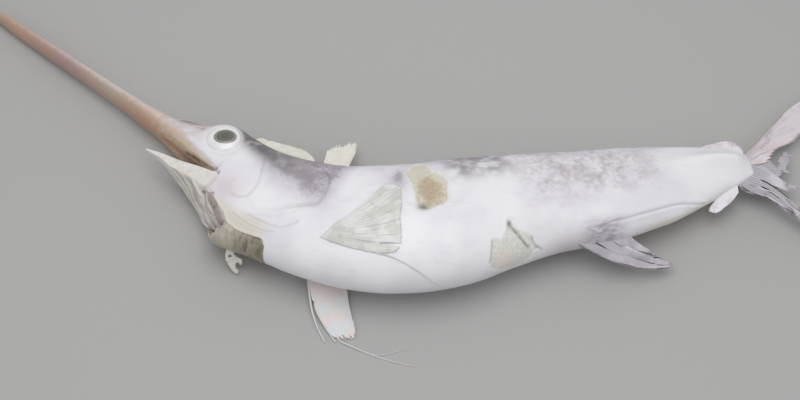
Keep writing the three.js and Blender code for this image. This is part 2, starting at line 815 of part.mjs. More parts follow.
// First dorsal fin: in front a torn ivory band is left, behind it worn stubs with one flap over them.
const ROOT_SINK = 8;
const DORSAL_DROOP = 9;
const BAND_TIPS = [
  [203, 27], [207, 36], [216, 41], [232, 42], [250, 50], [275, 57], [303, 61], [329, 64], [352, 56],
  [380, 40], [404, 18],
];
const dorsalBand = midlineFin(1, [[262, -ROOT_SINK], [404, -ROOT_SINK]], BAND_TIPS, DORSAL_DROOP, {
  rays: 11, rows: 4, seed: 11, fray: 0.03, thick: () => 6, thin: 1.6, web: () => 0.99,
});
const STUB_TIPS = [[398, 20], [414, 18], [440, 22], [500, 26], [540, 20], [580, 9]];
const dorsalStubs = midlineFin(1, [[386, -ROOT_SINK], [560, -ROOT_SINK]], STUB_TIPS, DORSAL_DROOP, {
  rays: 8, rows: 2, seed: 12, fray: 0.3, thick: () => 4, thin: 1.2, web: () => 0.85,
});
const FLAP_TIPS = [[398, 82], [409, 102], [432, 110], [454, 128], [471, 120], [488, 86]];
const dorsalFlap = midlineFin(1, [[432, -ROOT_SINK], [500, -ROOT_SINK]], FLAP_TIPS, DORSAL_DROOP, {
  rays: 6, rows: 3, seed: 13, fray: 0.09, thick: () => 5, thin: 1.4, web: () => 0.96,
});
addNode("dorsal_fin_first", dorsalBand.add(dorsalStubs).add(dorsalFlap).subtract(bodyWithGap), FIN);

// First anal fin, swept back along the belly: three bundles of rays, apart half way and together again at
// the tip.
const ANAL_BUNDLES = [
  {
    front: [
      [380, -32, 106], [408, -46, 100], [438, -59, 90], [461, -67, 80], [509, -80, 65], [557, -83, 51],
      [606, -79, 38], [651, -65, 28],
    ],
    rear: [
      [427, -12, 96], [444, -31, 90], [473, -43, 80], [501, -52, 71], [530, -58, 60], [561, -64, 49],
      [585, -68, 43], [602, -67, 39], [626, -65, 34], [646, -66, 29],
    ],
    rays: 4,
    seed: 51,
  },
  {
    front: [
      [426, -14, 96], [444, -34, 90], [472, -46, 80], [501, -56, 71], [530, -57, 60], [562, -58, 49],
      [586, -62, 43], [602, -69, 39], [624, -67, 34], [643, -67, 30],
    ],
    rear: [
      [461, 6, 96], [474, -13, 91], [501, -34, 83], [525, -42, 72], [561, -51, 60], [585, -54, 52],
      [600, -52, 48], [617, -56, 40], [639, -62, 32],
    ],
    rays: 3,
    seed: 52,
  },
  {
    front: [
      [460, 3, 96], [476, -18, 91], [503, -38, 83], [527, -40, 71], [561, -44, 60], [583, -48, 54],
      [599, -55, 48],
    ],
    rear: [
      [513, 16, 92], [521, -4, 88], [535, -18, 79], [559, -30, 68], [578, -38, 60], [600, -50, 50],
    ],
    rays: 4,
    seed: 53,
  },
];
const analFin = ANAL_BUNDLES.map(({ front, rear, rays, seed }) =>
  rayedStrip(front, rear, {
    rays, rows: 8, seed, fray: 0.02, thick: (u) => lerp(7, 5, u), thin: 2.4, web: () => 0.98,
  }),
).reduce((fin, bundle) => fin.add(bundle));
addNode("anal_fin_first", analFin.subtract(bodyWithGap), FIN);

// Second dorsal fin: worn down to a thick rounded knob of skin on the tail stock.
const KNOB_TIPS = [[1452, 3], [1476, 12], [1500, 19], [1524, 26], [1540, 27], [1552, 20], [1558, 8]];
const knob = midlineFin(1, [[1444, -14], [1548, -14]], KNOB_TIPS, 6, {
  rays: 7, rows: 4, seed: 3, fray: 0.02, thick: () => 16, thin: 5, web: () => 0.99,
});
addNode("dorsal_fin_second", knob.subtract(bodyWithGap), FIN);

// Second anal fin: a rounded lobe that hangs forward from under the tail stock.
const FINLET_RAY = [[759, 110, 66], [748, 92, 62], [735, 74, 60]];
const FINLET_TIPS = [
  [735, 74, 60], [733, 67, 58], [743, 61, 57], [757, 64, 57], [773, 77, 58], [792, 93, 59], [810, 117, 60],
];
const FINLET_ROOT = [[759, 110, 66], [808, 135, 62]];
const finlet = rayedFan(FINLET_RAY, FINLET_TIPS, FINLET_ROOT, {
  rays: 6, rows: 4, seed: 8, fray: 0.03, thick: () => 9, thin: 3, web: () => 0.97,
});
addNode("anal_fin_second", finlet.subtract(bodyWithGap), FIN);

// Left pectoral fin: laid back over the flank and split; its leading ray runs on as a bare thread.
const leftRoot = (u) => [lerp(538, 560, u), lerp(-40, -24, u)];
const leftTip = curve([
  [640, -46], [661, -46], [677, -44], [685, -38], [687, -27], [686, -14], [690, 0], [686, 11], [650, 15],
]);
const leftFin = finSheet({
  rays: 12,
  rows: 7,
  seed: 17,
  fray: 0.02,
  thick: (u) => lerp(5, 3.4, u),
  thin: 1.2,
  web: (u) => (Math.abs(u - 0.41) < 0.05 ? 0.74 : 0.98),
  at: (u, v) => {
    const [st, an] = leftRoot(u);
    const tip = leftTip.getPointAt(u);
    return skinPoint(lerp(st, tip.x, v), lerp(an, tip.y, v), lerp(0, 3.2, Math.min(1, v * 5)));
  },
});
const THREAD = [[640, -46], [670, -50], [708, -63], [732, -78], [748, -92]];
const leadingThread = bareRay(THREAD.map(([st, an], i) => skinPoint(st, an, i ? 2.4 : 3)), 3.2, 1.2, 9);
addNode("pectoral_fin_left", leftFin.subtract(bodyWithGap).add(leadingThread.subtract(bodyWithGap)), FIN);

// Right pectoral fin: comes out from under the belly and lies spread on the floor, its outer rays bare.
const RIGHT_EDGE = [
  [-217, -81, 28], [-213, -106, 25], [-201, -155, 14], [-182, -194, 8], [-160, -230, 4],
  [-151, -242, 3],
];
const RIGHT_TIPS = [
  [-151, -242, 3], [-135, -244, 3], [-119, -245, 3], [-98, -240, 3], [-101, -215, 5], [-111, -183, 8],
  [-118, -154, 12], [-122, -128, 17],
];
const RIGHT_ROOT = [
  [-217, -81, 28], [-133, -96, 26],
];
const OUTER_RAYS = [
  [
    [-216, -81, 28], [-213, -110, 23], [-204, -170, 13], [-191, -211, 7], [-172, -250, 3],
  ],
  [
    [-198, -143, 16], [-195, -167, 12], [-179, -201, 8], [-148, -250, 3],
  ],
];
const FILAMENT = [
  [-150, -205, 4], [-140, -244, 3], [-114, -259, 3], [-56, -285, 2], [-3, -302, 2], [36, -310, 2],
];
const BRANCH = [[-84, -273, 3], [-71, -279, 2.4], [-43, -282, 2], [-3, -272, 2], [25, -265, 2]];
const cord = (dots, ...sizes) => bareRay(dots.map((p) => vector(...p)), ...sizes);
let rightFin = rayedFan(RIGHT_EDGE, RIGHT_TIPS, RIGHT_ROOT, {
  rays: 11, rows: 6, seed: 29, fray: 0.05, thick: (u) => lerp(8, 5, u), thin: 1.6, web: () => 0.97,
});
OUTER_RAYS.forEach((dots) => {
  rightFin = rightFin.add(cord(dots, 6, 3, 6, 5));
});
rightFin = rightFin.add(cord(FILAMENT, 4.2, 1.6, 9, 4)).add(cord(BRANCH, 2, 1, 6, 4));
addNode("pectoral_fin_right", rightFin.subtract(bodyWithGap).intersect(aboveFloor), FIN);

// Tail fin: two stiff crescent lobes on the end of the tail stock. The upper one keeps its blade.
const UPPER_EDGE = [
  [839, 229, 47], [856, 246, 46], [884, 277, 44], [914, 309, 41], [937, 339, 39], [960, 364, 36],
  [986, 389, 33], [1011, 408, 30], [1060, 443, 23], [1110, 476, 15], [1158, 505, 8],
];
const UPPER_TIPS = [
  [1158, 505, 8], [1125, 455, 14], [1085, 402, 21], [1035, 345, 30], [991, 296, 38], [967, 276, 40],
  [937, 263, 42], [915, 240, 44], [905, 218, 46], [882, 209, 48],
];
const UPPER_ROOT = [[839, 229, 47], [837, 205, 49]];
const upperLobe = rayedFan(UPPER_EDGE, UPPER_TIPS, UPPER_ROOT, {
  rays: 11, rows: 7, seed: 21, fray: 0.06,
  thick: (u) => lerp(12, 7, u), thin: 1.6, web: (u) => lerp(0.97, 0.9, u),
});

// The lower lobe is stripped to bundles of rays, with a torn web and a rag of skin in the fork.
const LOWER_BUNDLES = [
  {
    front: [
      [810, 142, 60], [829, 124, 58], [858, 115, 57], [881, 107, 56], [902, 89, 55], [922, 70, 53],
      [944, 52, 51], [1000, 13, 44], [1060, -20, 34], [1120, -46, 20], [1171, -62, 8],
    ],
    rear: [
      [824, 158, 58], [842, 144, 57], [863, 139, 56], [883, 129, 55], [900, 110, 54], [921, 89, 52],
      [947, 65, 50], [1000, 28, 43], [1060, -7, 33], [1118, -37, 20], [1165, -60, 9],
    ],
    rays: 3,
    rows: 9,
  },
  {
    front: [
      [823, 153, 57.5], [845, 137, 56.5], [867, 131, 55.5], [885, 125, 54.7], [902, 115, 54], [923, 99, 52],
      [948, 75, 50], [1000, 38, 43], [1055, 5, 34], [1105, -22, 24],
    ],
    rear: [
      [829, 178, 56], [854, 164, 55], [882, 151, 54], [904, 132, 53], [925, 112, 51], [950, 83, 49],
      [1000, 50, 43], [1045, 25, 35], [1080, 8, 28],
    ],
    rays: 3,
    rows: 7,
  },
  {
    front: [
      [829, 172, 55.5], [856, 157, 55], [884, 145, 54], [908, 139, 52], [928, 130, 50], [946, 121, 48],
    ],
    rear: [
      [836, 203, 51], [862, 203, 50], [880, 200, 49], [896, 186, 48.5], [916, 168, 48], [938, 146, 48],
    ],
    rays: 4,
    rows: 4,
  },
  {
    front: [[838, 192, 51], [870, 194, 49.5], [905, 192, 48], [930, 186, 47], [950, 184, 46]],
    rear: [[838, 204, 49], [870, 204, 48.5], [900, 210, 48], [926, 232, 47], [950, 246, 46]],
    rays: 4,
    rows: 4,
  },
];
const lowerLobe = LOWER_BUNDLES.map(({ front, rear, rays, rows }, i) =>
  rayedStrip(front, rear, {
    rays, rows, seed: 61 + i, fray: 0.08, thick: (u) => lerp(9, 6, u), thin: 2, web: () => 0.92,
  }),
).reduce((fin, bundle) => fin.add(bundle));
const clearOfUpper = rayedFan(UPPER_EDGE, UPPER_TIPS, UPPER_ROOT, {
  rays: 11, rows: 7, seed: 21, fray: 0,
  thick: (u) => lerp(12, 7, u) + 2 * GAP, thin: 1.6 + 2 * GAP, web: () => 1,
});
addNode("tail_fin_upper", upperLobe.subtract(bodyWithGap), FIN);
addNode("tail_fin_lower", lowerLobe.subtract(bodyWithGap).subtract(clearOfUpper), FIN);

export default model;
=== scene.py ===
import math

import bpy
import numpy as np
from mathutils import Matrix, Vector, noise


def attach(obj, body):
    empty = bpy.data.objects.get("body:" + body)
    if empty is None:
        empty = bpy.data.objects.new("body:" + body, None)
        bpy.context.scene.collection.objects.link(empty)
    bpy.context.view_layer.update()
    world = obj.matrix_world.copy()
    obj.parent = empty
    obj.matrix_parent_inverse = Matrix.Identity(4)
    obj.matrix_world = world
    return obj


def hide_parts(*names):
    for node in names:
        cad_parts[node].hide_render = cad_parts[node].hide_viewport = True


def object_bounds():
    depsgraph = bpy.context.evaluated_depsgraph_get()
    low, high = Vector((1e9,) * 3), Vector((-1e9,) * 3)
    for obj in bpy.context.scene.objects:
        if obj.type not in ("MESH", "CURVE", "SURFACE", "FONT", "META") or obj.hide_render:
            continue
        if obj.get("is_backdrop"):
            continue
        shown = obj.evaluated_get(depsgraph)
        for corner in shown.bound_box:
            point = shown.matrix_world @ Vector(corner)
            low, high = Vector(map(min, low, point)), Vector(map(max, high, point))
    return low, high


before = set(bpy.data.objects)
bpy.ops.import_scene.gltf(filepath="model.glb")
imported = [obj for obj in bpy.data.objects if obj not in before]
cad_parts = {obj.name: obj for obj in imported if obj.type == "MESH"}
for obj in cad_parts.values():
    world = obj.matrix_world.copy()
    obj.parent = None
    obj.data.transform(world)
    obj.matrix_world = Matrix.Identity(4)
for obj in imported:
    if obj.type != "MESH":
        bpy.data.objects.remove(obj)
cad_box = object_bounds()

# Studio: a pale matt floor under one broad soft light, as an overcast sky gives.
# The camera stands on the belly side of the fish and looks steeply down on it.
CAMERA_TARGET = Vector((0.0, 0.075, 0.095))
CAMERA_DISTANCE = 3.138
CAMERA_ELEVATION = math.radians(58)
CAMERA_LENS = 60
FAR_CLIP = 60
FLOOR_SIZE = 40.0
FLOOR_COLOUR = (0.46, 0.455, 0.445, 1)
FLOOR_ROUGHNESS = 0.9
SKY_COLOUR = (0.97, 0.98, 1.0, 1)
SKY_STRENGTH = 0.56
SOFTBOX_SIZE = 3.2
SOFTBOX_POWER = 54
SOFTBOX_PLACE = Vector((0.0, -0.1, 3.6))

camera_data = bpy.data.cameras.new("camera")
camera_data.lens = CAMERA_LENS
camera_data.clip_end = FAR_CLIP
camera = bpy.data.objects.new("camera", camera_data)
back_off = Vector((0, -math.cos(CAMERA_ELEVATION), math.sin(CAMERA_ELEVATION)))
camera.location = CAMERA_TARGET + CAMERA_DISTANCE * back_off
camera.rotation_euler = (math.pi / 2 - CAMERA_ELEVATION, 0, 0)
bpy.context.scene.collection.objects.link(camera)
bpy.context.scene.camera = camera
bpy.context.scene.view_settings.view_transform = "Standard"

world = bpy.data.worlds.new("overcast")
world.use_nodes = True
world.node_tree.nodes["Background"].inputs["Color"].default_value = SKY_COLOUR
world.node_tree.nodes["Background"].inputs["Strength"].default_value = SKY_STRENGTH
bpy.context.scene.world = world

softbox_data = bpy.data.lights.new("softbox", "AREA")
softbox_data.shape = "DISK"
softbox_data.size = SOFTBOX_SIZE
softbox_data.energy = SOFTBOX_POWER
softbox = bpy.data.objects.new("softbox", softbox_data)
softbox.location = SOFTBOX_PLACE
softbox.rotation_euler = (CAMERA_TARGET - SOFTBOX_PLACE).to_track_quat("-Z", "Y").to_euler()
bpy.context.scene.collection.objects.link(softbox)

floor_mesh = bpy.data.meshes.new("floor")
edge = FLOOR_SIZE / 2
corners = [(-edge, -edge, 0), (edge, -edge, 0), (edge, edge, 0), (-edge, edge, 0)]
floor_mesh.from_pydata(corners, [], [(0, 1, 2, 3)])
floor = bpy.data.objects.new("floor", floor_mesh)
bpy.context.scene.collection.objects.link(floor)
floor_paint = bpy.data.materials.new("floor_paint")
floor_paint.use_nodes = True
floor_shader = floor_paint.node_tree.nodes["Principled BSDF"]
floor_shader.inputs["Base Color"].default_value = FLOOR_COLOUR
floor_shader.inputs["Roughness"].default_value = FLOOR_ROUGHNESS
floor_mesh.materials.append(floor_paint)
floor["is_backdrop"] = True


# Body skin: one smooth, scaleless hide over skull, trunk and tail stock, from the snout to the tail's root.
# The fish lies on its right flank, pressed flat by its weight, and the hide is bleached and torn. Sizes are
# millimetres; a station is a place along the backbone, counted from the snout's end.
MM = 0.001
TAIL_ROOT = 1560
BACKBONE = [
    (-591, 314, 50), (-497, 240, 59), (-402, 166, 69), (-354, 130, 75), (-278, 81, 82), (-175, 32, 88),
    (-83, 6, 92), (11, 1, 94), (110, 15, 93), (226, 46, 86), (348, 79, 79), (464, 106, 74),
    (583, 137, 69), (703, 171, 62), (792, 192, 56), (852, 201, 50),
]
# Station, height of the back, depth of the belly, half width, squareness above and below, roll in degrees.
SECTIONS = [
    (0, 35, 22, 38, 1.8, 1.8, 8),
    (40, 45, 27, 43, 2.1, 2.2, 8),
    (93, 61, 35, 52, 2.5, 2.4, 8),
    (156, 82, 46, 60, 3.2, 2.5, 8),
    (200, 92, 54, 64, 4.2, 2.5, 8),
    (236, 96, 60, 67, 3.8, 2.5, 8),
    (250, 97, 112, 69, 3.4, 2.1, 8),
    (275, 98, 144, 73, 3.0, 2.0, 8),
    (310, 100, 161, 80, 2.6, 2.0, 8),
    (390, 115, 167, 91, 2.2, 2.0, 7),
    (505, 138, 168, 96, 2.2, 2.0, 6),
    (600, 159, 170, 100, 2.2, 2.0, 6),
    (695, 166, 172, 104, 2.2, 2.0, 6),
    (795, 166, 169, 103, 2.1, 2.0, 6),
    (915, 155, 150, 95, 2.1, 2.0, 6),
    (1041, 138, 139, 83, 2.1, 2.0, 7),
    (1160, 124, 139, 74, 2.0, 2.0, 7),
    (1283, 107, 128, 62, 2.0, 2.0, 8),
    (1408, 79, 97, 44, 2.0, 2.0, 8),
    (1475, 65, 70, 32, 2.0, 2.0, 8),
    (1512, 60, 57, 23, 2.0, 2.0, 8),
    (1540, 52, 40, 13, 2.0, 2.0, 8),
    (1560, 36, 26, 5, 2.0, 2.0, 8),
]
KEEL = [(1290, 0), (1380, 9), (1455, 19), (1512, 20), (1545, 9), (1560, 2)]
KEEL_THICKNESS = 24


def profile(pairs):
    """A smooth function through (x, y) pairs that never overshoots them."""
    x, y = np.array(pairs, float).T
    secant = np.diff(y) / np.diff(x)
    before, after = secant[:-1], secant[1:]
    rising = before * after > 0
    inner = np.where(rising, 2 * before * after / np.where(rising, before + after, 1), 0)
    slope = np.concatenate([secant[:1], inner, secant[-1:]])

    def value(at):
        at = np.clip(at, x[0], x[-1])
        i = np.clip(np.searchsorted(x, at) - 1, 0, len(x) - 2)
        width = x[i + 1] - x[i]
        t = (at - x[i]) / width
        ends = y[i] * (1 + 2 * t) * (1 - t) ** 2 + y[i + 1] * t * t * (3 - 2 * t)
        return ends + width * (slope[i] * t * (1 - t) ** 2 - slope[i + 1] * t * t * (1 - t))

    return value


class Line:
    """A smooth line through points, asked for places by their share of its length."""

    def __init__(self, points, closed=False, steps=40):
        p = np.array(points, float)
        if closed:
            p = np.concatenate([p[-1:], p, p[:2]])
        else:
            p = np.concatenate([2 * p[:1] - p[1:2], p, 2 * p[-1:] - p[-2:-1]])
        gap = np.maximum(np.linalg.norm(np.diff(p, axis=0), axis=1) ** 0.5, 1e-4)[:, None]
        t = np.linspace(0, 1, steps, endpoint=False)[:, None]
        spans = []
        for i in range(1, len(p) - 2):
            a, b, c = gap[i - 1], gap[i], gap[i + 1]
            leave = ((p[i] - p[i - 1]) / a - (p[i + 1] - p[i - 1]) / (a + b) + (p[i + 1] - p[i]) / b) * b
            reach = ((p[i + 1] - p[i]) / b - (p[i + 2] - p[i]) / (b + c) + (p[i + 2] - p[i + 1]) / c) * b
            ends = p[i] * (1 + 2 * t) * (1 - t) ** 2 + p[i + 1] * t * t * (3 - 2 * t)
            spans.append(ends + leave * t * (1 - t) ** 2 - reach * t * t * (1 - t))
        self.dots = np.concatenate(spans + [p[-2:-1]])
        run = np.linalg.norm(np.diff(self.dots, axis=0), axis=1)
        self.travel = np.concatenate([[0], np.cumsum(run)])
        self.length = self.travel[-1]

    def at(self, share):
        where = np.asarray(share) * self.length
        return np.stack([np.interp(where, self.travel, c) for c in self.dots.T], -1)

    def heading(self, share):
        share = np.asarray(share)
        ahead = self.at(np.minimum(share + 0.002, 1)) - self.at(np.maximum(share - 0.002, 0))
        return ahead / np.linalg.norm(ahead, axis=-1, keepdims=True)


backbone = Line(BACKBONE)
back_height, belly_depth, half_width, square_above, square_below, roll_at = (
    profile([(row[0], row[n]) for row in SECTIONS]) for n in range(1, 7)
)
keel_height = profile(KEEL)


def body_frame(station):
    """Centre of the body at a station, and its directions to the tail, the back and the left side."""
    station = np.asarray(station, float)
    share = np.clip(station / TAIL_ROOT, 0, 1)
    tail = backbone.heading(share)
    beyond = (station - share * TAIL_ROOT) * backbone.length / TAIL_ROOT
    centre = backbone.at(share) + tail * beyond[..., None]
    level = np.stack([-tail[..., 1], tail[..., 0], 0 * tail[..., 0]], -1)
    level /= np.linalg.norm(level, axis=-1, keepdims=True)
    up = np.cross(tail, level)
    roll = np.radians(roll_at(station))[..., None]
    dorsal = level * np.cos(roll) - up * np.sin(roll)
    left = level * np.sin(roll) + up * np.cos(roll)
    return centre, tail, dorsal, left


def in_body(station, dorsal, left):
    """A point at a station by its height towards the back and its distance towards the left side."""
    centre, _, to_back, to_left = body_frame(station)
    dorsal, left = (np.asarray(a, float)[..., None] for a in (dorsal, left))
    return centre + dorsal * to_back + left * to_left


def skin_at(station, angle, grow=0.0):
    """A point on the skin. Angle 0 is the left side, 90 the back, 180 the right side and -90 the belly."""
    station, angle, grow = np.broadcast_arrays(np.asarray(station, float), angle, grow)
    centre, _, to_back, to_left = body_frame(station)
    c, k = np.cos(np.radians(angle)), np.sin(np.radians(angle))
    power = 2 / np.where(k > 0, square_above(station), square_below(station))
    reach = np.where(k > 0, back_height(station), belly_depth(station)) + grow
    dorsal = reach * np.sign(k) * abs(k) ** power
    keel = keel_height(station) * np.exp(-((dorsal / KEEL_THICKNESS) ** 2))
    left = (half_width(station) + grow) * np.sign(c) * abs(c) ** power + c * keel
    point = centre + dorsal[..., None] * to_back + left[..., None] * to_left
    sunk = np.maximum(-grow - point[..., 2], 0)
    return point + (sunk / to_left[..., 2])[..., None] * to_left


def smooth(low, high, value):
    """0 below low, 1 above high, and an even ease between them."""
    t = np.clip((np.asarray(value, float) - low) / (high - low), 0, 1)
    return t * t * (3 - 2 * t)


def mix(first, second, share):
    return first + (second - first) * share


def between(start, end, value):
    """0 at first, an ease to 1 over the range start, and back to 0 over the range end."""
    return smooth(*start, value) * (1 - smooth(*end, value))


def bump(off, width):
    """1 on a line and fading to 0 beside it, by the distance from the line."""
    return np.exp(-((off / width) ** 2))


def ridges(off, *rows):
    """Soft ridges or grooves beside a line: each row is a height, a distance behind the line and a width."""
    return sum(high * bump(off + behind, width) for high, behind, width in rows)


def spot(along, angle, place, size, power=2):
    """1 at a place on the skin, fading to 0 round it; place and size are each a station and an angle."""
    return np.exp(-(((along - place[0]) / size[0]) ** power) - (((angle - place[1]) / size[1]) ** power))


def grain(points, size, detail=1):
    """Random relief from about -1 to 1 over points in space, its bumps about size millimetres across."""
    flat = points.reshape(-1, 3) / size
    values = [noise.fractal(Vector(p), 1.0, 2.1, detail) for p in flat]
    return np.array(values).reshape(points.shape[:-1])


class Region:
    """A closed outline or an open line drawn on the skin in stations and angles."""

    def __init__(self, dots, closed=True, samples=90):
        line = Line(dots, closed)
        loop = line.at(np.linspace(0, 1, samples, endpoint=not closed))
        self.middle = loop.mean(0)
        girth = skin_at(self.middle[0], np.arange(0, 361, 5.0))
        self.degree = np.linalg.norm(np.diff(girth, axis=0), axis=1).sum() / 360
        self.closed = closed
        self.loop = loop * (1, self.degree)

    def depth(self, station, angle, ragged=0.0, margin=60):
        """How far inside the outline a point is, in millimetres. Outside, or off a line, it is negative."""
        here = np.stack([station, angle * self.degree], -1)
        low, high = self.loop.min(0) - margin, self.loop.max(0) + margin
        near = ((here > low) & (here < high)).all(-1)
        result = np.full(station.shape, -float(margin))
        here = here[near][:, None]
        start = self.loop if self.closed else self.loop[:-1]
        end = np.roll(self.loop, -1, 0) if self.closed else self.loop[1:]
        edge, off = end - start, here - start
        t = np.clip((off * edge).sum(-1) / (edge**2).sum(-1), 0, 1)
        away = np.linalg.norm(off - t[..., None] * edge, axis=-1).min(1)
        if self.closed:
            rise = np.where(end[:, 1] == start[:, 1], 1e-9, end[:, 1] - start[:, 1])
            crossing = start[:, 0] + (end[:, 0] - start[:, 0]) * (here[..., 1] - start[:, 1]) / rise
            passes = (start[:, 1] <= here[..., 1]) != (end[:, 1] <= here[..., 1])
            passes &= here[..., 0] < crossing
            away = np.where(passes.sum(1) % 2 == 1, away, -away)
        else:
            away = -away
        result[near] = away
        return result + ragged


# Rings of the hide stand closer together on the head and at the two wounds than elsewhere.
RING_STEPS = [
    (0, 2.4), (540, 2.6), (600, 5.0), (690, 4.2), (705, 2.8), (980, 3.0), (1010, 5.6), (1450, 5.0),
    (1560, 3.2),
]
RING_POINTS = 216
GIRTH_DOTS = 1081
FLOOR_SIDE_ANGLE = 115
FLOOR_SIDE_SHARE = 0.45
THROAT_EXTRA = 1.6
step_at = profile(RING_STEPS)
stations = [0.0]
while stations[-1] < TAIL_ROOT:
    stations.append(stations[-1] + float(step_at(stations[-1])))
stations = np.array(stations) * TAIL_ROOT / stations[-1]

dense = np.linspace(-180, 180, GIRTH_DOTS)
rim = skin_at(stations[:, None], dense[None])
travel = np.linalg.norm(np.diff(rim, axis=1), axis=2)
travel = travel * np.where(abs(dense[:-1] + 0.1) < FLOOR_SIDE_ANGLE, 1, FLOOR_SIDE_SHARE)
by_throat = between((236, 258), (434, 456), stations)[:, None]
travel = travel * (1 + THROAT_EXTRA * by_throat * bump(dense[:-1] + 58, 12))
travel = np.concatenate([np.zeros((len(stations), 1)), np.cumsum(travel, 1)], 1)
shares = np.linspace(0, 1, RING_POINTS, endpoint=False)
around = np.array([np.interp(shares * row[-1], row, dense) for row in travel])
along = np.repeat(stations[:, None], RING_POINTS, 1)
hide = skin_at(along, around)


def surface_normals(grid, loop=True):
    """Outward directions on a grid of points whose columns run round in a loop, or not."""
    down = np.gradient(grid, axis=0)
    if loop:
        across = np.roll(grid, -1, 1) - np.roll(grid, 1, 1)
    else:
        across = np.gradient(grid, axis=1)
    normal = np.cross(across, down)
    return normal / np.maximum(np.linalg.norm(normal, axis=-1, keepdims=True), 1e-9)


# The upper eye stands proud in a raised ring of hide; the floor presses the lower one into its socket.
EYE_STATION = 186
EYE_HEIGHT = 33
EYE_RADIUS = 40.5
EYE_SINK = {1: 59, -1: 55}
EYE_TURN = {1: -4, -1: 0}
ORBIT_REACH = 66
ORBIT_LEVEL = 1.5
ORBIT_DEPTH = 17
LOWER_SOCKET = (32, 38)


def eye_place(side):
    centre, _, to_back, to_left = body_frame(EYE_STATION)
    turn = math.radians(EYE_TURN[side])
    facing = to_left * side * math.cos(turn) + to_back * math.sin(turn)
    return in_body(EYE_STATION, EYE_HEIGHT, side * EYE_SINK[side]), facing / np.linalg.norm(facing)


socket = np.zeros(along.shape)
for side in (1, -1):
    eye_centre, eye_facing = eye_place(side)
    off = hide - eye_centre
    out = off @ eye_facing
    radius = np.linalg.norm(off - out[..., None] * eye_facing, axis=-1)
    if side > 0:
        level = mix(-ORBIT_DEPTH, ORBIT_LEVEL, smooth(EYE_RADIUS - 4.5, EYE_RADIUS, radius))
        held = (1 - smooth(EYE_RADIUS, ORBIT_REACH, radius)) * smooth(-34, -14, out)
        hide = hide + (held * (level - out))[..., None] * eye_facing
    else:
        held = (1 - smooth(*LOWER_SOCKET, radius)) * (out > 0)
        hide = hide - (ORBIT_DEPTH * held)[..., None] * eye_facing
    socket = np.maximum(socket, (out > -30) * bump(radius - 42, 7))

outward = surface_normals(hide)
if (outward[:, RING_POINTS // 2] @ body_frame(800)[3]).mean() < 0:
    outward = -outward

# Both sides of the head carry the same forms, so the right side is read as the left one turned over.
folded = np.where(abs(around) > 90, np.sign(around) * 180 - around, around)
height = np.zeros(along.shape)
shade = {"socket": socket}

GILL_COVER = [
    (303, 22), (345, 28), (400, 31), (450, 32), (488, 24), (508, 8), (508, -8), (484, -15),
    (455, -21), (420, -30), (384, -36), (360, -30), (352, -14), (334, 6),
]
COVER_LIFT = (1.0, 3.6)
cover_depth = Region(GILL_COVER).depth(along, folded, 1.2 * grain(hide, 14))
rearness = smooth(395, 500, along)
cover_height = mix(*COVER_LIFT, rearness)
height += cover_height * smooth(-1.0, 3.0, cover_depth) * mix(1.0, 0.5, smooth(8, 60, cover_depth))
height += rearness * ridges(cover_depth, (-0.8, 4, 3.5))

CHEEK_LINE = [(312, 21), (335, 3), (349, -6), (361, -17), (358, -28), (340, -34), (320, -35)]
cheek_off = Region(CHEEK_LINE, closed=False).depth(along, folded)
height += ridges(cheek_off, (-0.4, 0, 3.2), (0.35, 6, 5))

GILL_FOLDS = [
    [(380, -44), (396, -45), (421, -45), (448, -44), (471, -38), (484, -32)],
    [(346, -50), (384, -53), (420, -53), (446, -50)],
    [(404, -39), (424, -37), (451, -30), (477, -22)],
]
# The second number of each fold is how dark its groove is painted: painted shade, not a colour of the hide.
FOLD_HEIGHTS, FOLD_GROOVE_SHADES = (1.1, 0.85, 0.6), (0.42, 0.3, 0.18)
fold_groove_shade = np.zeros(along.shape)
for fold, high, dark in zip(GILL_FOLDS, FOLD_HEIGHTS, FOLD_GROOVE_SHADES):
    fold_off = Region(fold, closed=False).depth(along, folded)
    height += ridges(fold_off, (high, 3, 5), (-0.5, 0, 2))
    fold_groove_shade = np.maximum(fold_groove_shade, dark * bump(fold_off, 2))

# Two nostrils to a side: station, height above the backbone, size and depth. Their pits are painted dark, as
# painted shade.
NOSTRILS = [(118, 30, 5, 4), (106, 26, 3.6, 3)]
nostril_pit_shade = np.zeros(along.shape)
centre, _, to_back, to_left = body_frame(along)
dorsal_part = ((hide - centre) * to_back).sum(-1)
for place, rise, size, depth in NOSTRILS:
    near = bump(np.hypot(along - place, dorsal_part - rise), size)
    height -= depth * near
    nostril_pit_shade = np.maximum(nostril_pit_shade, near)

# The roof of the mouth is hollow between the two rounded edges of the upper jaw.
ROOF_DEPTH = 7
LIP_HEIGHT = 1.2
height -= ROOF_DEPTH * between((20, 60), (236, 252), along) * smooth(70, 84, -folded)
height += LIP_HEIGHT * between((40, 110), (236, 256), along) * bump(folded + 47, 5)

SHOULDER_WOUND = [
    (718, 35), (737, 47), (760, 48), (768, 37), (771, 30), (785, 27), (795, 21), (799, 13), (795, 5),
    (793, -1), (785, -5), (772, -8), (762, -8), (744, -10), (727, -8), (722, -3), (722, 4), (720, 12),
    (716, 20), (709, 27),
]
BELLY_WOUND = [
    (908, -35), (897, -44), (880, -52), (858, -49), (851, -60), (846, -71), (850, -82), (870, -91),
    (895, -96), (925, -98), (948, -88), (956, -78), (976, -79), (960, -68), (955, -60), (947, -53),
    (927, -47), (916, -40),
]
SHOULDER_SINK, BELLY_SINK = 3.4, 1.6
WOUNDS = [("shoulder", SHOULDER_WOUND, SHOULDER_SINK), ("belly", BELLY_WOUND, BELLY_SINK)]
shade["rim"] = np.zeros(along.shape)
for name, outline, sink in WOUNDS:
    tear = Region(outline).depth(along, around, 2.6 * grain(hide, 9, 3))
    shade[name] = smooth(-1.5, 2.5, tear)
    height -= sink * shade[name] * (1 + 0.5 * grain(hide, 7, 3))
    height += sink * ridges(tear, (0.3, 3.5, 3.2))
    shade["rim"] = np.maximum(shade["rim"], bump(tear + 1, 4.5) * sink / SHOULDER_SINK)
centre_off = np.hypot((along - 757) / 27, (around - 8) / 15)
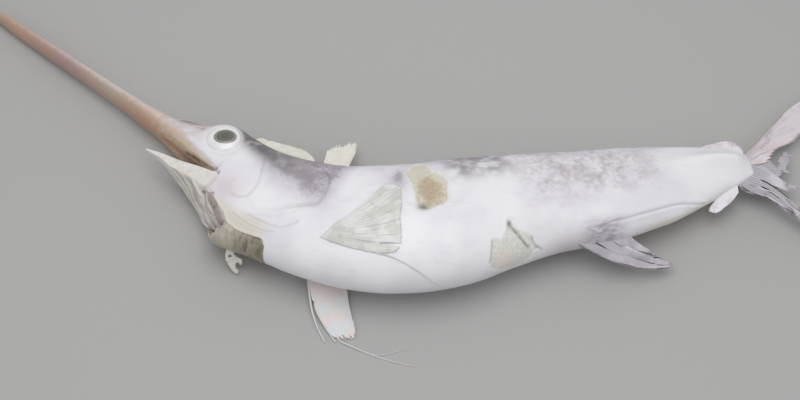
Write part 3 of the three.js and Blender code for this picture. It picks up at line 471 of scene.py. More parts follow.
shade["brown"] = 1 - smooth(0.45, 1.45, centre_off + 0.35 * grain(hide, 9, 3))
shade["brown"] = np.maximum(shade["brown"], spot(along, around, (882, -77), (24, 13)))
shade["gash"] = spot(along, around, (735, -7.5), (13, 3.5))
# Cracks that run on from the wounds, each with its breadth.
TEARS = [
    ([(908, -37), (915, -44), (924, -51), (935, -62), (944, -70)], 3.0),
    ([(954, -57), (959, -68), (976, -79)], 2.0),
    ([(858, -51), (851, -62), (847, -72)], 1.6),
]
for dots, breadth in TEARS:
    groove = bump(Region(dots, closed=False).depth(along, around, 1.2 * grain(hide, 6, 2)), breadth)
    height -= 0.5 * breadth * groove
    shade["gash"] = np.maximum(shade["gash"], groove * breadth / 3.2)
shade["gash"] = np.maximum(shade["gash"], spot(along, around, (909, -38), (6, 3.5)))

# Over the throat the hide is torn away to the gills, and ends there in a thin free edge.
TORN_HIDE = [
    (290, -49), (313, -53), (330, -57), (344, -64), (358, -65), (371, -66), (401, -64), (428, -63),
    (433, -69), (436, -84), (437, -110), (434, -136), (420, -148), (370, -152), (310, -154), (258, -152),
    (244, -130), (242, -100), (244, -76), (254, -60), (272, -50),
]
TORN_DEPTH = [(244, 30), (330, 31), (380, 17), (425, 6)]
torn = Region(TORN_HIDE).depth(along, around, 0.9 * grain(hide, 8, 3))
carve = profile(TORN_DEPTH)(along) * smooth(-1.0, 3.5, torn)
height += ridges(torn, (0.9, 4, 3.5)) * smooth(284, 300, along) * (around > -95)
shade["inside"] = smooth(-1.0, 2.0, torn)

# A long crease marks off the belly's edge before the tail.
TAIL_CREASE = [
    (1122, -66), (1146, -59), (1194, -57), (1268, -57), (1313, -58), (1342, -63), (1365, -71), (1396, -84),
]
crease = Region(TAIL_CREASE, closed=False).depth(along, around)
height += ridges(crease, (-1.6, 0, 2.6), (1.2, 9, 6))

# Slack hide over firm muscle: long shallow waves and fine wrinkles, pressed out where it nears the floor.
HIDE_WAVES = [(0.9, 90), (0.25, 16)]
PRESSED_BELOW = 14
HIDE_CLEARANCE = 0.2
height += sum(high * grain(hide, size, 2) for high, size in HIDE_WAVES)
height = (height - carve) * smooth(0, PRESSED_BELOW, hide[..., 2])
hide = hide + outward * height[..., None]
hide[..., 2] = np.maximum(hide[..., 2], HIDE_CLEARANCE)

# Where the colours of the hide lie. The snout's bare bone begins at an edge that falls towards the mouth.
HORN_EDGE = [
    (0, 24), (12, 12), (44, -2), (77, -9), (103, -21), (127, -29), (151, -37), (177, -39), (200, -41),
    (226, -46), (250, -52),
]
shade["horn"] = smooth(24, -14, folded - profile(HORN_EDGE)(along))
shade["horn"] *= 1 - smooth(232, 250, along)
MOUTH_CORNER = 254
BILL_LENGTH = 740
shade["under"] = smooth(30, -95, folded)
shade["reach"] = (MOUTH_CORNER - along) / (MOUTH_CORNER + BILL_LENGTH)
# The line of the gape is painted dark brown: painted shadow inside the mouth.
GAPE = [(118, -66), (150, -60), (185, -56), (215, -50), (240, -40), (257, -27)]
GAPE_WIDTH = (7, 3)
gape_off = Region(GAPE, closed=False).depth(along, folded) / mix(*GAPE_WIDTH, smooth(170, 250, along))
shade["mouth"] = bump(gape_off, 1) * smooth(108, 140, along)
shade["blush"] = spot(along, folded, (300, -33), (34, 13))
NAPE_START = 214
nape_front = NAPE_START - 1.5 * np.clip(folded - 25, 0, 60)
shade["nape"] = smooth(2, 28, folded + 0.05 * (along - 234)) * smooth(-18, 22, along - nape_front)
shade["nape"] *= 1 - smooth(290, 470, along)
PLUM_LOW = [(290, 6), (340, -4), (380, -12), (480, -20)]
shade["plum"] = smooth(-8, 24, folded - profile(PLUM_LOW)(along)) * between((276, 350), (500, 560), along)
shade["plum"] = np.maximum(shade["plum"], spot(along, around, (684, 24), (26, 15)))
fin_root = spot(along, around, (1135, -76), (48, 24), 4)
shade["fin_root"] = fin_root * np.clip(0.75 + 0.7 * grain(hide * (0.35, 1, 1), 7, 3), 0, 1)
# Fields of colour: the angles and stations over which each fades in, and the stations over which it ends.
BOTH_SIDES = {
    "snout": ((-60, 40), (-2, -1), (110, 170)),
    "ridge": ((10, 34), (0, 50), (70, 150)),
    "back": ((20, 62), (240, 420), (1150, 1330)),
    "cream": ((-38, -52), (268, 300), (400, 446)),
}
LEFT_SIDE = {
    "sallow": ((-70, -92), (1150, 1290), (1400, 1500)),
    "mottle": ((-40, 0), (930, 1040), (1200, 1400)),
    # The shadow field is painted shadow on the belly's underside before the anal fin.
    "shadow": ((-52, -86), (950, 1060), (1090, 1130)),
    "grey": ((4, 30), (780, 850), (930, 1000)),
}
for fields, angle in ((BOTH_SIDES, folded), (LEFT_SIDE, around)):
    for name, (rise, start, end) in fields.items():
        shade[name] = smooth(*rise, angle) * between(start, end, along)
# Painted shade: the grooves of the gill folds, the cheek line and the tail crease, the nostril pits and the
# strip under the gill cover's lifted rear edge are painted darker.
cover_rim_shadow = 0.36 * rearness * bump(cover_depth + 3, 3.4)
groove_shadows = [0.55 * fold_groove_shade, 0.2 * bump(cheek_off, 3.2), 0.4 * bump(crease, 2.2), cover_rim_shadow]
shade["dark"] = np.maximum.reduce([0.6 * nostril_pit_shade, *groove_shadows])


def looks_inward(points, faces):
    """Whether the faces of a closed mesh look inwards, by the sign of its volume."""
    corners = points[np.array([face[:3] for face in faces])]
    return (corners[:, 0] * np.cross(corners[:, 1], corners[:, 2])).sum() < 0


def make_piece(name, points, faces, finish, marks):
    """A mesh object in its place, from points in millimetres, with named values on its points as marks."""
    mesh = bpy.data.meshes.new(name)
    mesh.from_pydata((points * MM).tolist(), [], faces)
    mesh.materials.append(finish)
    for mark, values in marks.items():
        layer = mesh.attributes.new(mark, "FLOAT", "POINT")
        layer.data.foreach_set("value", np.asarray(values, np.float32).ravel())
    mesh.validate()
    if looks_inward(points, faces):
        mesh.flip_normals()
    mesh.shade_smooth()
    made = bpy.data.objects.new(name, mesh)
    bpy.context.scene.collection.objects.link(made)
    return made


def loop_faces(rows, columns):
    """Faces of a tube of rings, closed at its ends by one many-sided face each."""
    faces = []
    for r in range(rows - 1):
        for c in range(columns):
            a, b = r * columns + c, r * columns + (c + 1) % columns
            faces.append((a, b, b + columns, a + columns))
    faces.append(tuple(range(columns - 1, -1, -1)))
    faces.append(tuple(range((rows - 1) * columns, rows * columns)))
    return faces


def paint(red, green, blue):
    """A colour by its red, green and blue on a screen, 0 to 255, as the linear values that shaders take."""
    return tuple(((c / 255 + 0.055) / 1.055) ** 2.4 for c in (red, green, blue)) + (1.0,)


class Wire:
    """One socket in a material's node tree. Sums on wires lay Math nodes."""

    def __init__(self, tree, socket=None):
        self.tree, self.socket = tree, socket

    def node(self, kind, settings=None, sockets=None, output=0):
        """Adds a node, sets what it is first and its sockets second, and gives one of its outputs."""
        made = self.tree.nodes.new("ShaderNode" + kind)
        for name, value in (settings or {}).items():
            if name == "stops":
                ramp = made.color_ramp.elements
                ramp[0].position, ramp[0].color = value[0]
                ramp[1].position, ramp[1].color = value[-1]
                for position, colour in value[1:-1]:
                    ramp.new(position).color = colour
            else:
                setattr(made, name, value)
        for name, value in (sockets or {}).items():
            if isinstance(value, Wire):
                self.tree.links.new(value.socket, made.inputs[name])
            else:
                made.inputs[name].default_value = value
        return Wire(self.tree, made.outputs[output])

    def sum(self, operation, *values):
        return self.node("Math", {"operation": operation}, dict(enumerate(values)))

    def __add__(self, other):
        return self.sum("ADD", self, other)

    def __sub__(self, other):
        return self.sum("SUBTRACT", self, other)

    def __rsub__(self, other):
        return self.sum("SUBTRACT", other, self)

    def __mul__(self, other):
        return self.sum("MULTIPLY", self, other)

    __radd__, __rmul__ = __add__, __mul__

    def limit(self, low, high):
        """0 where this wire is below low, 1 above high, with an even ease between."""
        sockets = {"Value": self, "From Min": low, "From Max": high}
        return self.node("MapRange", {"interpolation_type": "SMOOTHSTEP"}, sockets)

    def tint(self, first, second):
        """The first colour where this wire is 0 and the second where it is 1."""
        return self.node("Mix", {"data_type": "RGBA"}, {0: self, 6: first, 7: second}, 2)

    def mark(self, name):
        return self.node("Attribute", {"attribute_name": name}, output=2)

    def place(self, stretch=(1, 1, 1)):
        """Places on the object in metres, stretched by stretch."""
        where = self.node("TexCoord", output=3)
        return self.node("VectorMath", {"operation": "MULTIPLY"}, {0: where, 1: stretch})

    def speckle(self, size, detail=4.0, roughness=0.55, stretch=(1, 1, 1)):
        """Random values round 0.5, with spots about size millimetres across."""
        sockets = {"Vector": self.place(stretch), "Scale": 0.7 / (size * MM)}
        sockets |= {"Detail": detail, "Roughness": roughness}
        return self.node("TexNoise", None, sockets)


def painted(colour, *coats):
    """A colour with further ones laid over it in turn, each with its share from 0 to 1."""
    for share, coat in coats:
        colour = share.tint(colour, coat)
    return colour


def new_finish(name, **fixed):
    """A material with its shader's constant values set, and a wire to build the rest from."""
    material = bpy.data.materials.new(name)
    material.use_nodes = True
    shader = material.node_tree.nodes["Principled BSDF"]
    for socket, value in fixed.items():
        shader.inputs[socket.replace("_", " ")].default_value = value
    return material, shader, Wire(material.node_tree)


def connect(shader, wire, colour=None, roughness=None, relief=None, distance=0.0006):
    """Feeds colour, roughness and relief into a shader."""
    if colour:
        wire.tree.links.new(colour.socket, shader.inputs["Base Color"])
    if roughness:
        wire.tree.links.new(roughness.socket, shader.inputs["Roughness"])
    if relief:
        raised = wire.node("Bump", None, {"Height": relief, "Distance": distance})
        wire.tree.links.new(raised.socket, shader.inputs["Normal"])


WHITE_HIDE = paint(242, 240, 244)
COOL_HIDE = paint(232, 230, 235)
LILAC_HIDE = paint(208, 197, 213)
PINK_HIDE = paint(222, 204, 212)
SNOUT_PINK = paint(208, 192, 190)
SNOUT_GREY = paint(124, 113, 110)
GREY_HIDE = paint(140, 134, 140)
SPOT_AND_SHADOW_GREY = paint(186, 176, 180)
SHADE_AND_BRUISE_GREY = paint(186, 180, 188)
NAPE_GREY = paint(102, 97, 98)
FIN_ROOT_GREY = paint(158, 150, 162)
PLUM_HIDE = paint(150, 138, 146)
CREAM_HIDE = paint(222, 216, 200)
TAN_HORN = paint(190, 156, 134)
BEIGE_HORN = paint(206, 186, 160)
GREY_HORN = paint(184, 168, 152)
ROSE_HORN = paint(176, 146, 142)
OLIVE_HORN = paint(150, 124, 98)
PALE_HORN = paint(226, 214, 210)
RUST_HORN = paint(176, 120, 84)
GAPE_SHADOW_BROWN = paint(96, 66, 52)
SOCKET_WHITE = paint(240, 239, 238)
SHOULDER_FAT = paint(220, 214, 198)
SHOULDER_BROWN = paint(200, 184, 160)
RAW_BROWN = paint(160, 138, 112)
BELLY_GREY = paint(212, 212, 204)
BELLY_PALE = paint(236, 236, 229)
BELLY_BEIGE = paint(232, 220, 210)
GASH_GREY = paint(118, 116, 110)
FAT_CREAM = paint(228, 226, 208)
GROOVE_SHADE_GREY = paint(132, 128, 128)
GULLET = paint(120, 100, 92)


def horn_colour(wire):
    """Bone of snout and sword under thin skin: tan, rosy half way, pale on its upper edge and rust below."""
    reach, under = wire.mark("reach"), wire.mark("under")
    stops = [
        (0.0, BEIGE_HORN), (0.14, BEIGE_HORN), (0.3, TAN_HORN), (0.42, GREY_HORN), (0.58, ROSE_HORN),
        (0.8, TAN_HORN), (1.0, OLIVE_HORN),
    ]
    streak = wire.speckle(9, 5, 0.6)
    colour = wire.node("ValToRGB", {"stops": stops}, {"Fac": reach + (streak - 0.5) * 0.12})
    pale = (1 - under + (streak - 0.5) * 0.6).limit(0.35, 1.1) * (1 - reach.limit(0.45, 0.8) * 0.7)
    rust = (under + (streak - 0.5) * 0.8).limit(0.6, 1.1) * (1 - reach.limit(0.3, 0.55) * 0.75)
    return painted(colour, (pale * 0.75, PALE_HORN), (rust * 0.55, RUST_HORN))


hide_finish, shader, wire = new_finish("bleached_hide", Coat_Roughness=0.28, Coat_Weight=0.18)
broad, middling, fine = wire.speckle(120, 3), wire.speckle(26, 5), wire.speckle(5, 4)
cloudy = (middling * 0.7 + fine * 0.3).limit(0.36, 0.62)
spots = (wire.speckle(34, 6, 0.62) * 0.55 + wire.speckle(9, 4) * 0.45).limit(0.36, 0.68)
blotch = wire.speckle(44, 5, 0.6) * 0.8 + fine * 0.3
streaky = wire.speckle(16, 6, 0.6, (0.45, 1.3, 1))
back, plum = wire.mark("back"), wire.mark("plum")
horn = wire.mark("horn") + (streaky - 0.5) * 1.1
brown = (wire.mark("brown") + (fine - 0.5)).limit(0.0, 0.75)
crumbs = (wire.mark("brown") + fine * 1.4 + wire.speckle(2.6, 3)).limit(1.8, 2.6)
fat = painted(SHOULDER_FAT, (brown, SHOULDER_BROWN), (crumbs * 0.5, RAW_BROWN))
frayed = painted(BELLY_GREY, (wire.speckle(4, 5, 0.65).limit(0.35, 0.7), BELLY_PALE), (brown, BELLY_BEIGE))
torn_rim = (fine - 0.5) * 0.9
colour = painted(
    WHITE_HIDE,
    (broad.limit(0.4, 0.62), COOL_HIDE),
    (back * cloudy * 0.8, LILAC_HIDE),
    (back * broad.limit(0.45, 0.6) * 0.6, PINK_HIDE),
    ((back + middling * 0.5).limit(1.02, 1.4) * 0.6, GREY_HIDE),
    (wire.mark("mottle") * spots * 0.9, SPOT_AND_SHADOW_GREY),
    (wire.mark("fin_root") * 0.9, FIN_ROOT_GREY),
    # Painted shadow on the belly's underside, in the same grey as the mottle's spots.
    (wire.mark("shadow") * 0.6, SPOT_AND_SHADOW_GREY),
    (wire.mark("grey") * (middling + 0.35).limit(0.6, 1.0) * 0.9, GREY_HIDE),
    # A shaded grey copy of the hide: painted shade over the upper gill cover, and the bruise's own grey on
    # the shoulder.
    (plum * (cloudy * 0.4 + 0.6), SHADE_AND_BRUISE_GREY),
    ((plum * 0.6 + blotch).limit(0.95, 1.3) * 0.8, PLUM_HIDE),
    (wire.mark("nape") * (middling + 0.5).limit(0.6, 1.0) * 0.95, NAPE_GREY),
    (wire.mark("blush") * 0.7, PINK_HIDE),
    ((wire.mark("cream") + wire.mark("sallow") * 0.8) * 0.8, CREAM_HIDE),
    (wire.mark("socket") * 0.35, SOCKET_WHITE),
    (wire.mark("snout") * streaky.limit(0.25, 0.65) * 0.95, SNOUT_PINK),
    (wire.mark("ridge") * streaky.limit(0.2, 0.55) * 0.85, SNOUT_GREY),
    (horn.limit(0.05, 0.6) * 0.8, SNOUT_PINK),
    (horn.limit(0.45, 1.05), horn_colour(wire)),
    # Painted shadow in the mouth's gape.
    (wire.mark("mouth") * (middling + 0.3).limit(0.55, 0.85), GAPE_SHADOW_BROWN),
    (wire.mark("rim") * fine.limit(0.3, 0.7) * 0.8, FAT_CREAM),
    ((wire.mark("shoulder") + torn_rim).limit(0.2, 0.9), fat),
    ((wire.mark("belly") + torn_rim).limit(0.2, 0.9) * 0.9, frayed),
    (wire.mark("gash") * 0.85, GASH_GREY),
    (wire.mark("inside") * 0.9, GULLET),
    # Painted shade in the grooves and pits, and under the gill cover's rear edge.
    (wire.mark("dark"), GROOVE_SHADE_GREY),
)
relief = middling * 0.5 + fine * 0.35 + wire.speckle(1.6, 3) * 0.15
connect(shader, wire, colour, fine * 0.2 + 0.33, relief, 0.0009)

faces = loop_faces(len(stations), RING_POINTS)
skin = make_piece("body_skin", hide.reshape(-1, 3), faces, hide_finish, shade)
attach(skin, "root")
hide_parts("head", "torso_front", "torso_middle", "torso_rear", "tail_stock")
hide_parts("gill_cover_left", "gill_cover_right", "gill_fold_left")


# Eyes: each a big ball, set fixed in its socket. In death the white has swollen and bleached, and the
# clear front has clouded to a grey disc with faint rings. The floor presses the lower ball flat.
EYE_DOME = 13
EYE_BACK = 24
CLOUDED_RADIUS = 27
CLOUDED_SQUASH = 0.78
CLOUDED_BULGE = 1.6
CLOUDED_OFF = (4.7, -2.5)
EYE_RINGS, EYE_SPOKES = 54, 84
EYE_CLEARANCE = 0.4
EYE_WHITE = paint(240, 239, 237)
EYE_STOPS = [
    (0.0, paint(104, 101, 94)), (0.3, paint(90, 88, 80)), (0.5, paint(114, 111, 101)),
    (0.66, paint(92, 90, 83)), (0.76, paint(138, 135, 127)), (0.92, paint(150, 147, 141)),
    (0.985, paint(112, 108, 105)), (1.0, EYE_WHITE),
]

eye_finish, shader, wire = new_finish("clouded_eye", Coat_Weight=0.5, Coat_Roughness=0.12, Roughness=0.3)
swirl = (wire.speckle(9, 3) - 0.5) * 0.12
ring = wire.mark("radius") * 0.96 + swirl
disc_colour = wire.node("ValToRGB", {"stops": EYE_STOPS}, {"Fac": ring})
white = wire.speckle(14, 4).limit(0.45, 0.7).tint(EYE_WHITE, COOL_HIDE)
colour = wire.mark("radius").limit(0.98, 1.08).tint(disc_colour, white)
connect(shader, wire, colour, relief=wire.speckle(6, 3), distance=0.0003)

for side, name in ((1, "left"), (-1, "right")):
    eye_centre, eye_facing = eye_place(side)
    east = np.array([1.0, 0, 0]) - eye_facing * eye_facing[0]
    east /= np.linalg.norm(east)
    north = np.cross(eye_facing, east) * side
    lift = np.radians(np.linspace(-90, 90, EYE_RINGS))
    turn = np.linspace(0, 2 * np.pi, EYE_SPOKES, endpoint=False)
    reach = (EYE_RADIUS * np.cos(lift))[:, None]
    rise = np.where(lift > 0, EYE_DOME, EYE_BACK) * np.sin(lift)
    x, y = reach * np.cos(turn), reach * np.sin(turn)
    disc = np.hypot(x - CLOUDED_OFF[0], (y - CLOUDED_OFF[1]) / CLOUDED_SQUASH) / CLOUDED_RADIUS
    front = (lift > 0)[:, None]
    rise = rise[:, None] + CLOUDED_BULGE * np.clip(1 - disc**2, 0, 1) ** 0.5 * front
    ball = eye_centre + x[..., None] * east + y[..., None] * north + rise[..., None] * eye_facing
    ball[..., 2] = np.maximum(ball[..., 2], EYE_CLEARANCE)
    faces = loop_faces(EYE_RINGS, EYE_SPOKES)
    marks = {"radius": disc + 1.0 * ~front}
    eye = make_piece(f"eyeball_{name}", ball.reshape(-1, 3), faces, eye_finish, marks)
    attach(eye, "root")
    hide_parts(f"eye_{name}")


# Sword: the long flat upper jaw, bone under thin worn skin, straight on from the skull to a blunt tip.
# Its section is a flattened oval with sharp side edges, wide at the snout and slender at the tip.
BILL_TIP_HEIGHT = 18
BILL_LIFT = 1
BILL_RISE = [(0, 0), (120, 5), (520, 5), (740, 0)]
BILL_ROOT_BLEND = 70
BILL_HALF_WIDTH = [
    (0, 40), (100, 35.5), (187, 32), (274, 30.5), (361, 30), (448, 28.5), (520, 26.5), (580, 22),
    (640, 16), (705, 9), (732, 4.5), (740, 1.5),
]
BILL_FLATNESS = [(0, 0.66), (60, 0.6), (200, 0.56), (740, 0.5)]
BILL_SIDES = 56
BILL_RINGS = 150
BILL_OVERLAP = 6
BILL_SQUARE = (1.75, 1.8)
BILL_RELIEF = 0.45
INSET = 0.985

snout, snout_tail, snout_dorsal, snout_left = body_frame(0)
tip = snout - snout_tail * BILL_LENGTH + snout_dorsal * BILL_LIFT
tip[2] = BILL_TIP_HEIGHT
out = np.linspace(-BILL_OVERLAP, BILL_LENGTH, BILL_RINGS)[:, None]
turn = np.linspace(-180, 180, BILL_SIDES, endpoint=False)[None]
c, k = np.cos(np.radians(turn)), np.sin(np.radians(turn))
wide = profile(BILL_HALF_WIDTH)(out)
high = wide * profile(BILL_FLATNESS)(out)
power = 2 / mix(*BILL_SQUARE, np.clip(out / 200, 0, 1))
blade_left = wide * np.sign(c) * abs(c) ** power
blade_dorsal = high * np.sign(k) * abs(k) ** power
root_power = 2 / np.where(k > 0, square_above(0), square_below(0))
root_left = half_width(0) * np.sign(c) * abs(c) ** root_power
root_dorsal = np.where(k > 0, back_height(0), belly_depth(0)) * np.sign(k) * abs(k) ** root_power
blend = smooth(0, BILL_ROOT_BLEND, out)
shrink = np.where(out < 0, INSET, 1)
to_left = mix(root_left, blade_left, blend) * shrink
to_back = mix(root_dorsal, blade_dorsal, blend) * shrink
middle = snout + (tip - snout) * out[..., None] / BILL_LENGTH
to_back = to_back + profile(BILL_RISE)(out)
sword_grid = middle + to_left[..., None] * snout_left + to_back[..., None] * snout_dorsal
ridge = grain(sword_grid * (0.25, 0.25, 1), 9, 2)
ridge *= BILL_RELIEF * smooth(0, 30, out) * smooth(0, 60, BILL_LENGTH - out)
sword_grid += surface_normals(sword_grid) * ridge[..., None]
under = smooth(30, -95, np.where(abs(turn) > 90, np.sign(turn) * 180 - turn, turn))
marks = {
    "under": np.broadcast_to(under, ridge.shape),
    "reach": np.broadcast_to((MOUTH_CORNER + out) / (MOUTH_CORNER + BILL_LENGTH), ridge.shape),
}
sword_finish, shader, wire = new_finish("sword_bone", Coat_Weight=0.22, Coat_Roughness=0.25)
relief = wire.speckle(7, 5, 0.6) * 0.6 + wire.speckle(2, 3) * 0.4
connect(shader, wire, horn_colour(wire), wire.speckle(12) * 0.25 + 0.3, relief, 0.0008)
faces = loop_faces(BILL_RINGS, BILL_SIDES)
sword = make_piece("sword", sword_grid.reshape(-1, 3), faces, sword_finish, marks)
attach(sword, "root")
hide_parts("bill")


# Lower jaw: two thin blades of bone that meet at a sharp chin and hang open. The slack skin slung between
# them has dried into shallow folds with slits, the slits painted dark as shade, and the blades' rear ends
# run in under the cheeks.
# Lines on the body are rows of station, height towards the back and distance to the left.
JAW_TIP = 22
JAW_REAR = (374, 330)
JAW_HALF_WIDTH = [(22, 1.5), (74, 15), (122, 26), (144, 32), (189, 46), (229, 57), (256, 64), (374, 74)]
JAW_TOP = [(22, -74), (74, -68), (133, -65), (186, -61), (256, -58), (374, -50)]
NEAR_EDGE = [
    (22, -77, 1), (74, -80, 11), (128, -90, 22), (179, -90, 30), (213, -94, 36), (247, -99, 42),
    (273, -104, 46), (305, -116, 47), (346, -128, 42), (374, -132, 38),
]
FAR_EDGE = [
    (22, -77, -1), (81, -78, -14), (116, -84, -24), (146, -89, -34), (181, -99, -44), (223, -113, -52),
    (262, -134, -48), (288, -140, -40), (374, -140, -24),
]
CHEEK_TOP = -30
CHEEK_LOW = [(240, -47), (296, -49), (313, -53), (346, -60), (374, -60)]
CHEEK_SINK = 3.5
BLADE_BOW = 0.07
JAW_RINGS = 150
BLADE_COLUMNS, SLING_COLUMNS, FAR_COLUMNS = 24, 90, 20
BLADE_THICK, SLING_THICK = 7, 2.6
NEAR_FLARE, FAR_FLARE = 0.96, 1.08
JAW_CLEARANCE = 1
SLING_SAG = 5
FOLD_SPACING = 40
FOLD_SLANT = 110
FOLD_DEPTH = 1.3
SLIT_DEPTH = 1.6
LIGHT_HEIGHT = 3.5
SLITS = [
    ([(134, -96, 20), (171, -100, 22)], 2.2),
    ([(197, -100, 29), (206, -107, 12), (220, -117, 0)], 2.6),
    ([(229, -94, 31), (249, -106, 20), (269, -119, 10), (295, -136, 3), (314, -152, -4)], 3.0),
]
DARK_LOBE = [(284, -110, 39), (303, -122, 29), (318, -140, 18)]
LOBE_HOLES = [(284, -119, 30), (296, -124, 31), (302, -120, 36)]
LIGHT_FOLD = [(205, -97, 30), (240, -113, 14), (272, -131, 4), (300, -150, -4)]
BLADE_WHITE = paint(235, 231, 226)
SLING_PALE = paint(214, 208, 200)
SLING_SHADED = paint(168, 160, 152)
LOBE_PLUM = paint(176, 160, 154)
SLIT_SHADOW_GREY = paint(86, 76, 72)


def off_line(points, dots):
    """Distance of points from a smooth line on the body."""
    line = Line([in_body(*dot) for dot in dots]).at(np.linspace(0, 1, 40))
    return np.linalg.norm(points[..., None, :] - line, axis=-1).min(-1)


blade = np.linspace(0, 1, BLADE_COLUMNS)
slung = np.linspace(0, 1, SLING_COLUMNS + 2)[1:-1]
far_blade = np.linspace(0, 1, FAR_COLUMNS)
across = np.concatenate([0 * blade, slung, 1 + 0 * far_blade])[None]
rising = np.concatenate([1 - blade, 0 * slung, far_blade])[None]
on_near = (np.arange(across.size) < BLADE_COLUMNS)[None]
jaw_share = np.linspace(0, 1, JAW_RINGS)[:, None]
station = JAW_TIP + jaw_share * (mix(*JAW_REAR, across) - JAW_TIP)
wide, top = profile(JAW_HALF_WIDTH)(station), profile(JAW_TOP)(station)


def rail(dots):
    """A smooth line on the body as a point at every station of the jaw."""
    height_at, left_at = (profile([(dot[0], dot[n]) for dot in dots]) for n in (1, 2))
    return in_body(station, height_at(station), left_at(station))


def to_cheek(point, angle):
    """Runs a line of the near blade over into the cheek's skin behind the corner of the mouth."""
    lift = mix(1.0, -CHEEK_SINK, smooth(262, 300, station))
    return mix(point, skin_at(station, angle, lift), smooth(236, 262, station)[..., None])


bow = (BLADE_BOW * wide * np.sin(np.pi * rising))[..., None] * body_frame(station)[3]
cheek_low = profile(CHEEK_LOW)(station)
near_low = to_cheek(rail(NEAR_EDGE), cheek_low)
near_blade = mix(rail(NEAR_EDGE), in_body(station, top, NEAR_FLARE * wide), rising[..., None]) + bow
near_blade = to_cheek(near_blade, mix(cheek_low, CHEEK_TOP, rising))
far_side = mix(rail(FAR_EDGE), in_body(station, top, -FAR_FLARE * wide), rising[..., None]) - bow
to_belly = -body_frame(station)[2]
sag = SLING_SAG * 4 * across * (1 - across) * smooth(40, 190, station)
sling = mix(near_low, rail(FAR_EDGE), across[..., None]) + sag[..., None] * to_belly
outer = np.where(on_near[..., None], near_blade, np.where((rising > 0)[..., None], far_side, sling))
jaw_out = surface_normals(outer, loop=False)
if (jaw_out * to_belly).sum(-1).mean() < 0:
    jaw_out = -jaw_out
slack = smooth(0.0, 0.1, across) * smooth(0.0, 0.07, 1 - across) * smooth(90, 150, station)
wobble = grain(outer, 60, 2)
fold = np.cos(2 * np.pi * (station - FOLD_SLANT * across) / FOLD_SPACING + 3.6 * wobble)
fold_height = FOLD_DEPTH * slack * (0.7 * fold + grain(outer * (1.4, 0.8, 1), 15, 2))
slit = np.zeros(fold.shape)
for dots, breadth in SLITS:
    groove = bump(off_line(outer, dots), breadth) * np.clip(0.8 + 0.8 * grain(outer, 10, 2), 0, 1)
    fold_height -= SLIT_DEPTH * breadth * groove
    slit = np.maximum(slit, groove)
lobe_off = off_line(outer, DARK_LOBE)
lobe = 1 - smooth(12, 20, lobe_off + 3 * grain(outer, 14, 2))
fold_height = mix(fold_height, 3.0 * bump(lobe_off, 16) + 1.2 * grain(outer, 9, 2), lobe)
for hole in LOBE_HOLES:
    slit = np.maximum(slit, bump(off_line(outer, [hole, hole]), 4))
light = bump(off_line(outer, LIGHT_FOLD), 4.5)
fold_height += LIGHT_HEIGHT * light
relief = 0.5 * grain(outer, 12, 2) * smooth(40, 90, station)
folded_out = outer + jaw_out * (fold_height + relief)[..., None]
thick = np.where(on_near | (rising > 0), BLADE_THICK, SLING_THICK)
thick = mix(thick, SLING_THICK, (1 - smooth(0, 0.3, rising)) * (across < 1))
inner = folded_out - jaw_out * np.minimum(thick, wide * 0.45 + 0.4)[..., None]
jaw_grid = np.concatenate([folded_out, inner[:, ::-1]], 1)
jaw_grid[..., 2] = np.maximum(jaw_grid[..., 2], JAW_CLEARANCE)


def both_faces(field, inner_value):
    """Values for the outer face of the jaw, and one for its inner face."""
    return np.concatenate([field + 0 * station, np.full(station.shape, inner_value)], 1)


marks = {
    "slit": both_faces(slit, 0.5),
    "hollow": both_faces(slack * smooth(-0.3, 1.2, wobble - fold) * (1 - lobe), 0.6),
    "sling": both_faces(slack * (1 - light), 0.8),
    "lobe": both_faces(lobe * (1 - 0.8 * light), 0.0),
    "chin": both_faces(1 - smooth(40, 120, station), 0.5),
    "rear": both_faces(smooth(205, 275, station), 0.0),
}
jaw_finish, shader, wire = new_finish("jaw_skin", Coat_Weight=0.15, Coat_Roughness=0.3, Roughness=0.45)
grime = wire.speckle(16, 5)
colour = painted(
    BLADE_WHITE,
    (grime.limit(0.45, 0.7), CREAM_HIDE),
    (wire.mark("chin") * 0.6, COOL_HIDE),
    (wire.mark("rear") * grime.limit(0.3, 0.6) * 0.6, PINK_HIDE),
    # The membrane is painted greyer in the troughs of its folds: painted shade over its pale colour.
    (wire.mark("sling") * 0.7, wire.mark("hollow").tint(SLING_PALE, SLING_SHADED)),
    ((wire.mark("lobe") + (grime - 0.5) * 0.5).limit(0.2, 0.8) * 0.9, LOBE_PLUM),
    # Painted shadow in the membrane's slits and in the lobe's holes.
    (wire.mark("slit") * 0.9, SLIT_SHADOW_GREY),
)
connect(shader, wire, colour, relief=grime * 0.6 + wire.speckle(4) * 0.4, distance=0.0008)
faces = loop_faces(JAW_RINGS, jaw_grid.shape[1])
jaw = make_piece("jaw", jaw_grid.reshape(-1, 3), faces, jaw_finish, marks)
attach(jaw, "root")
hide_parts("lower_jaw")


# Torn throat: behind the jaw the hide of the gullet is gone. The meat under it hangs slack and frayed, its
# fibres running round the body, and the hide behind it ends in a straight cut edge.
THROAT_FRONT = [(-146, 260), (-120, 275), (-105, 292), (-90, 313), (-75, 331), (-58, 342)]
THROAT_REAR = 440
THROAT_TOP = [(260, -50), (300, -50), (347, -58), (371, -60), (412, -59), (440, -58)]
THROAT_BOTTOM = -146
THROAT_SAG = [
    (260, 8), (276, 12), (294, 12), (317, 17), (340, 16), (362, 10), (386, 3), (420, 0), (440, -2.5),
]
THROAT_THICK = 3.5
THROAT_COLUMNS, THROAT_ROWS = 120, 120
FRONT_SINK, TOP_SINK = 9, 11
FIBRE_SPACING = 7
FIBRE_STRETCH = 0.3
FIBRE_RELIEF, CLUMP_RELIEF = 1.3, 2.4
RIM_FRONT, RIM_REAR, RIM_TOP, RIM_BOTTOM = 14, 5, 14, 8
THROAT_CLEARANCE = 3
MEAT_KHAKI = paint(184, 178, 156)
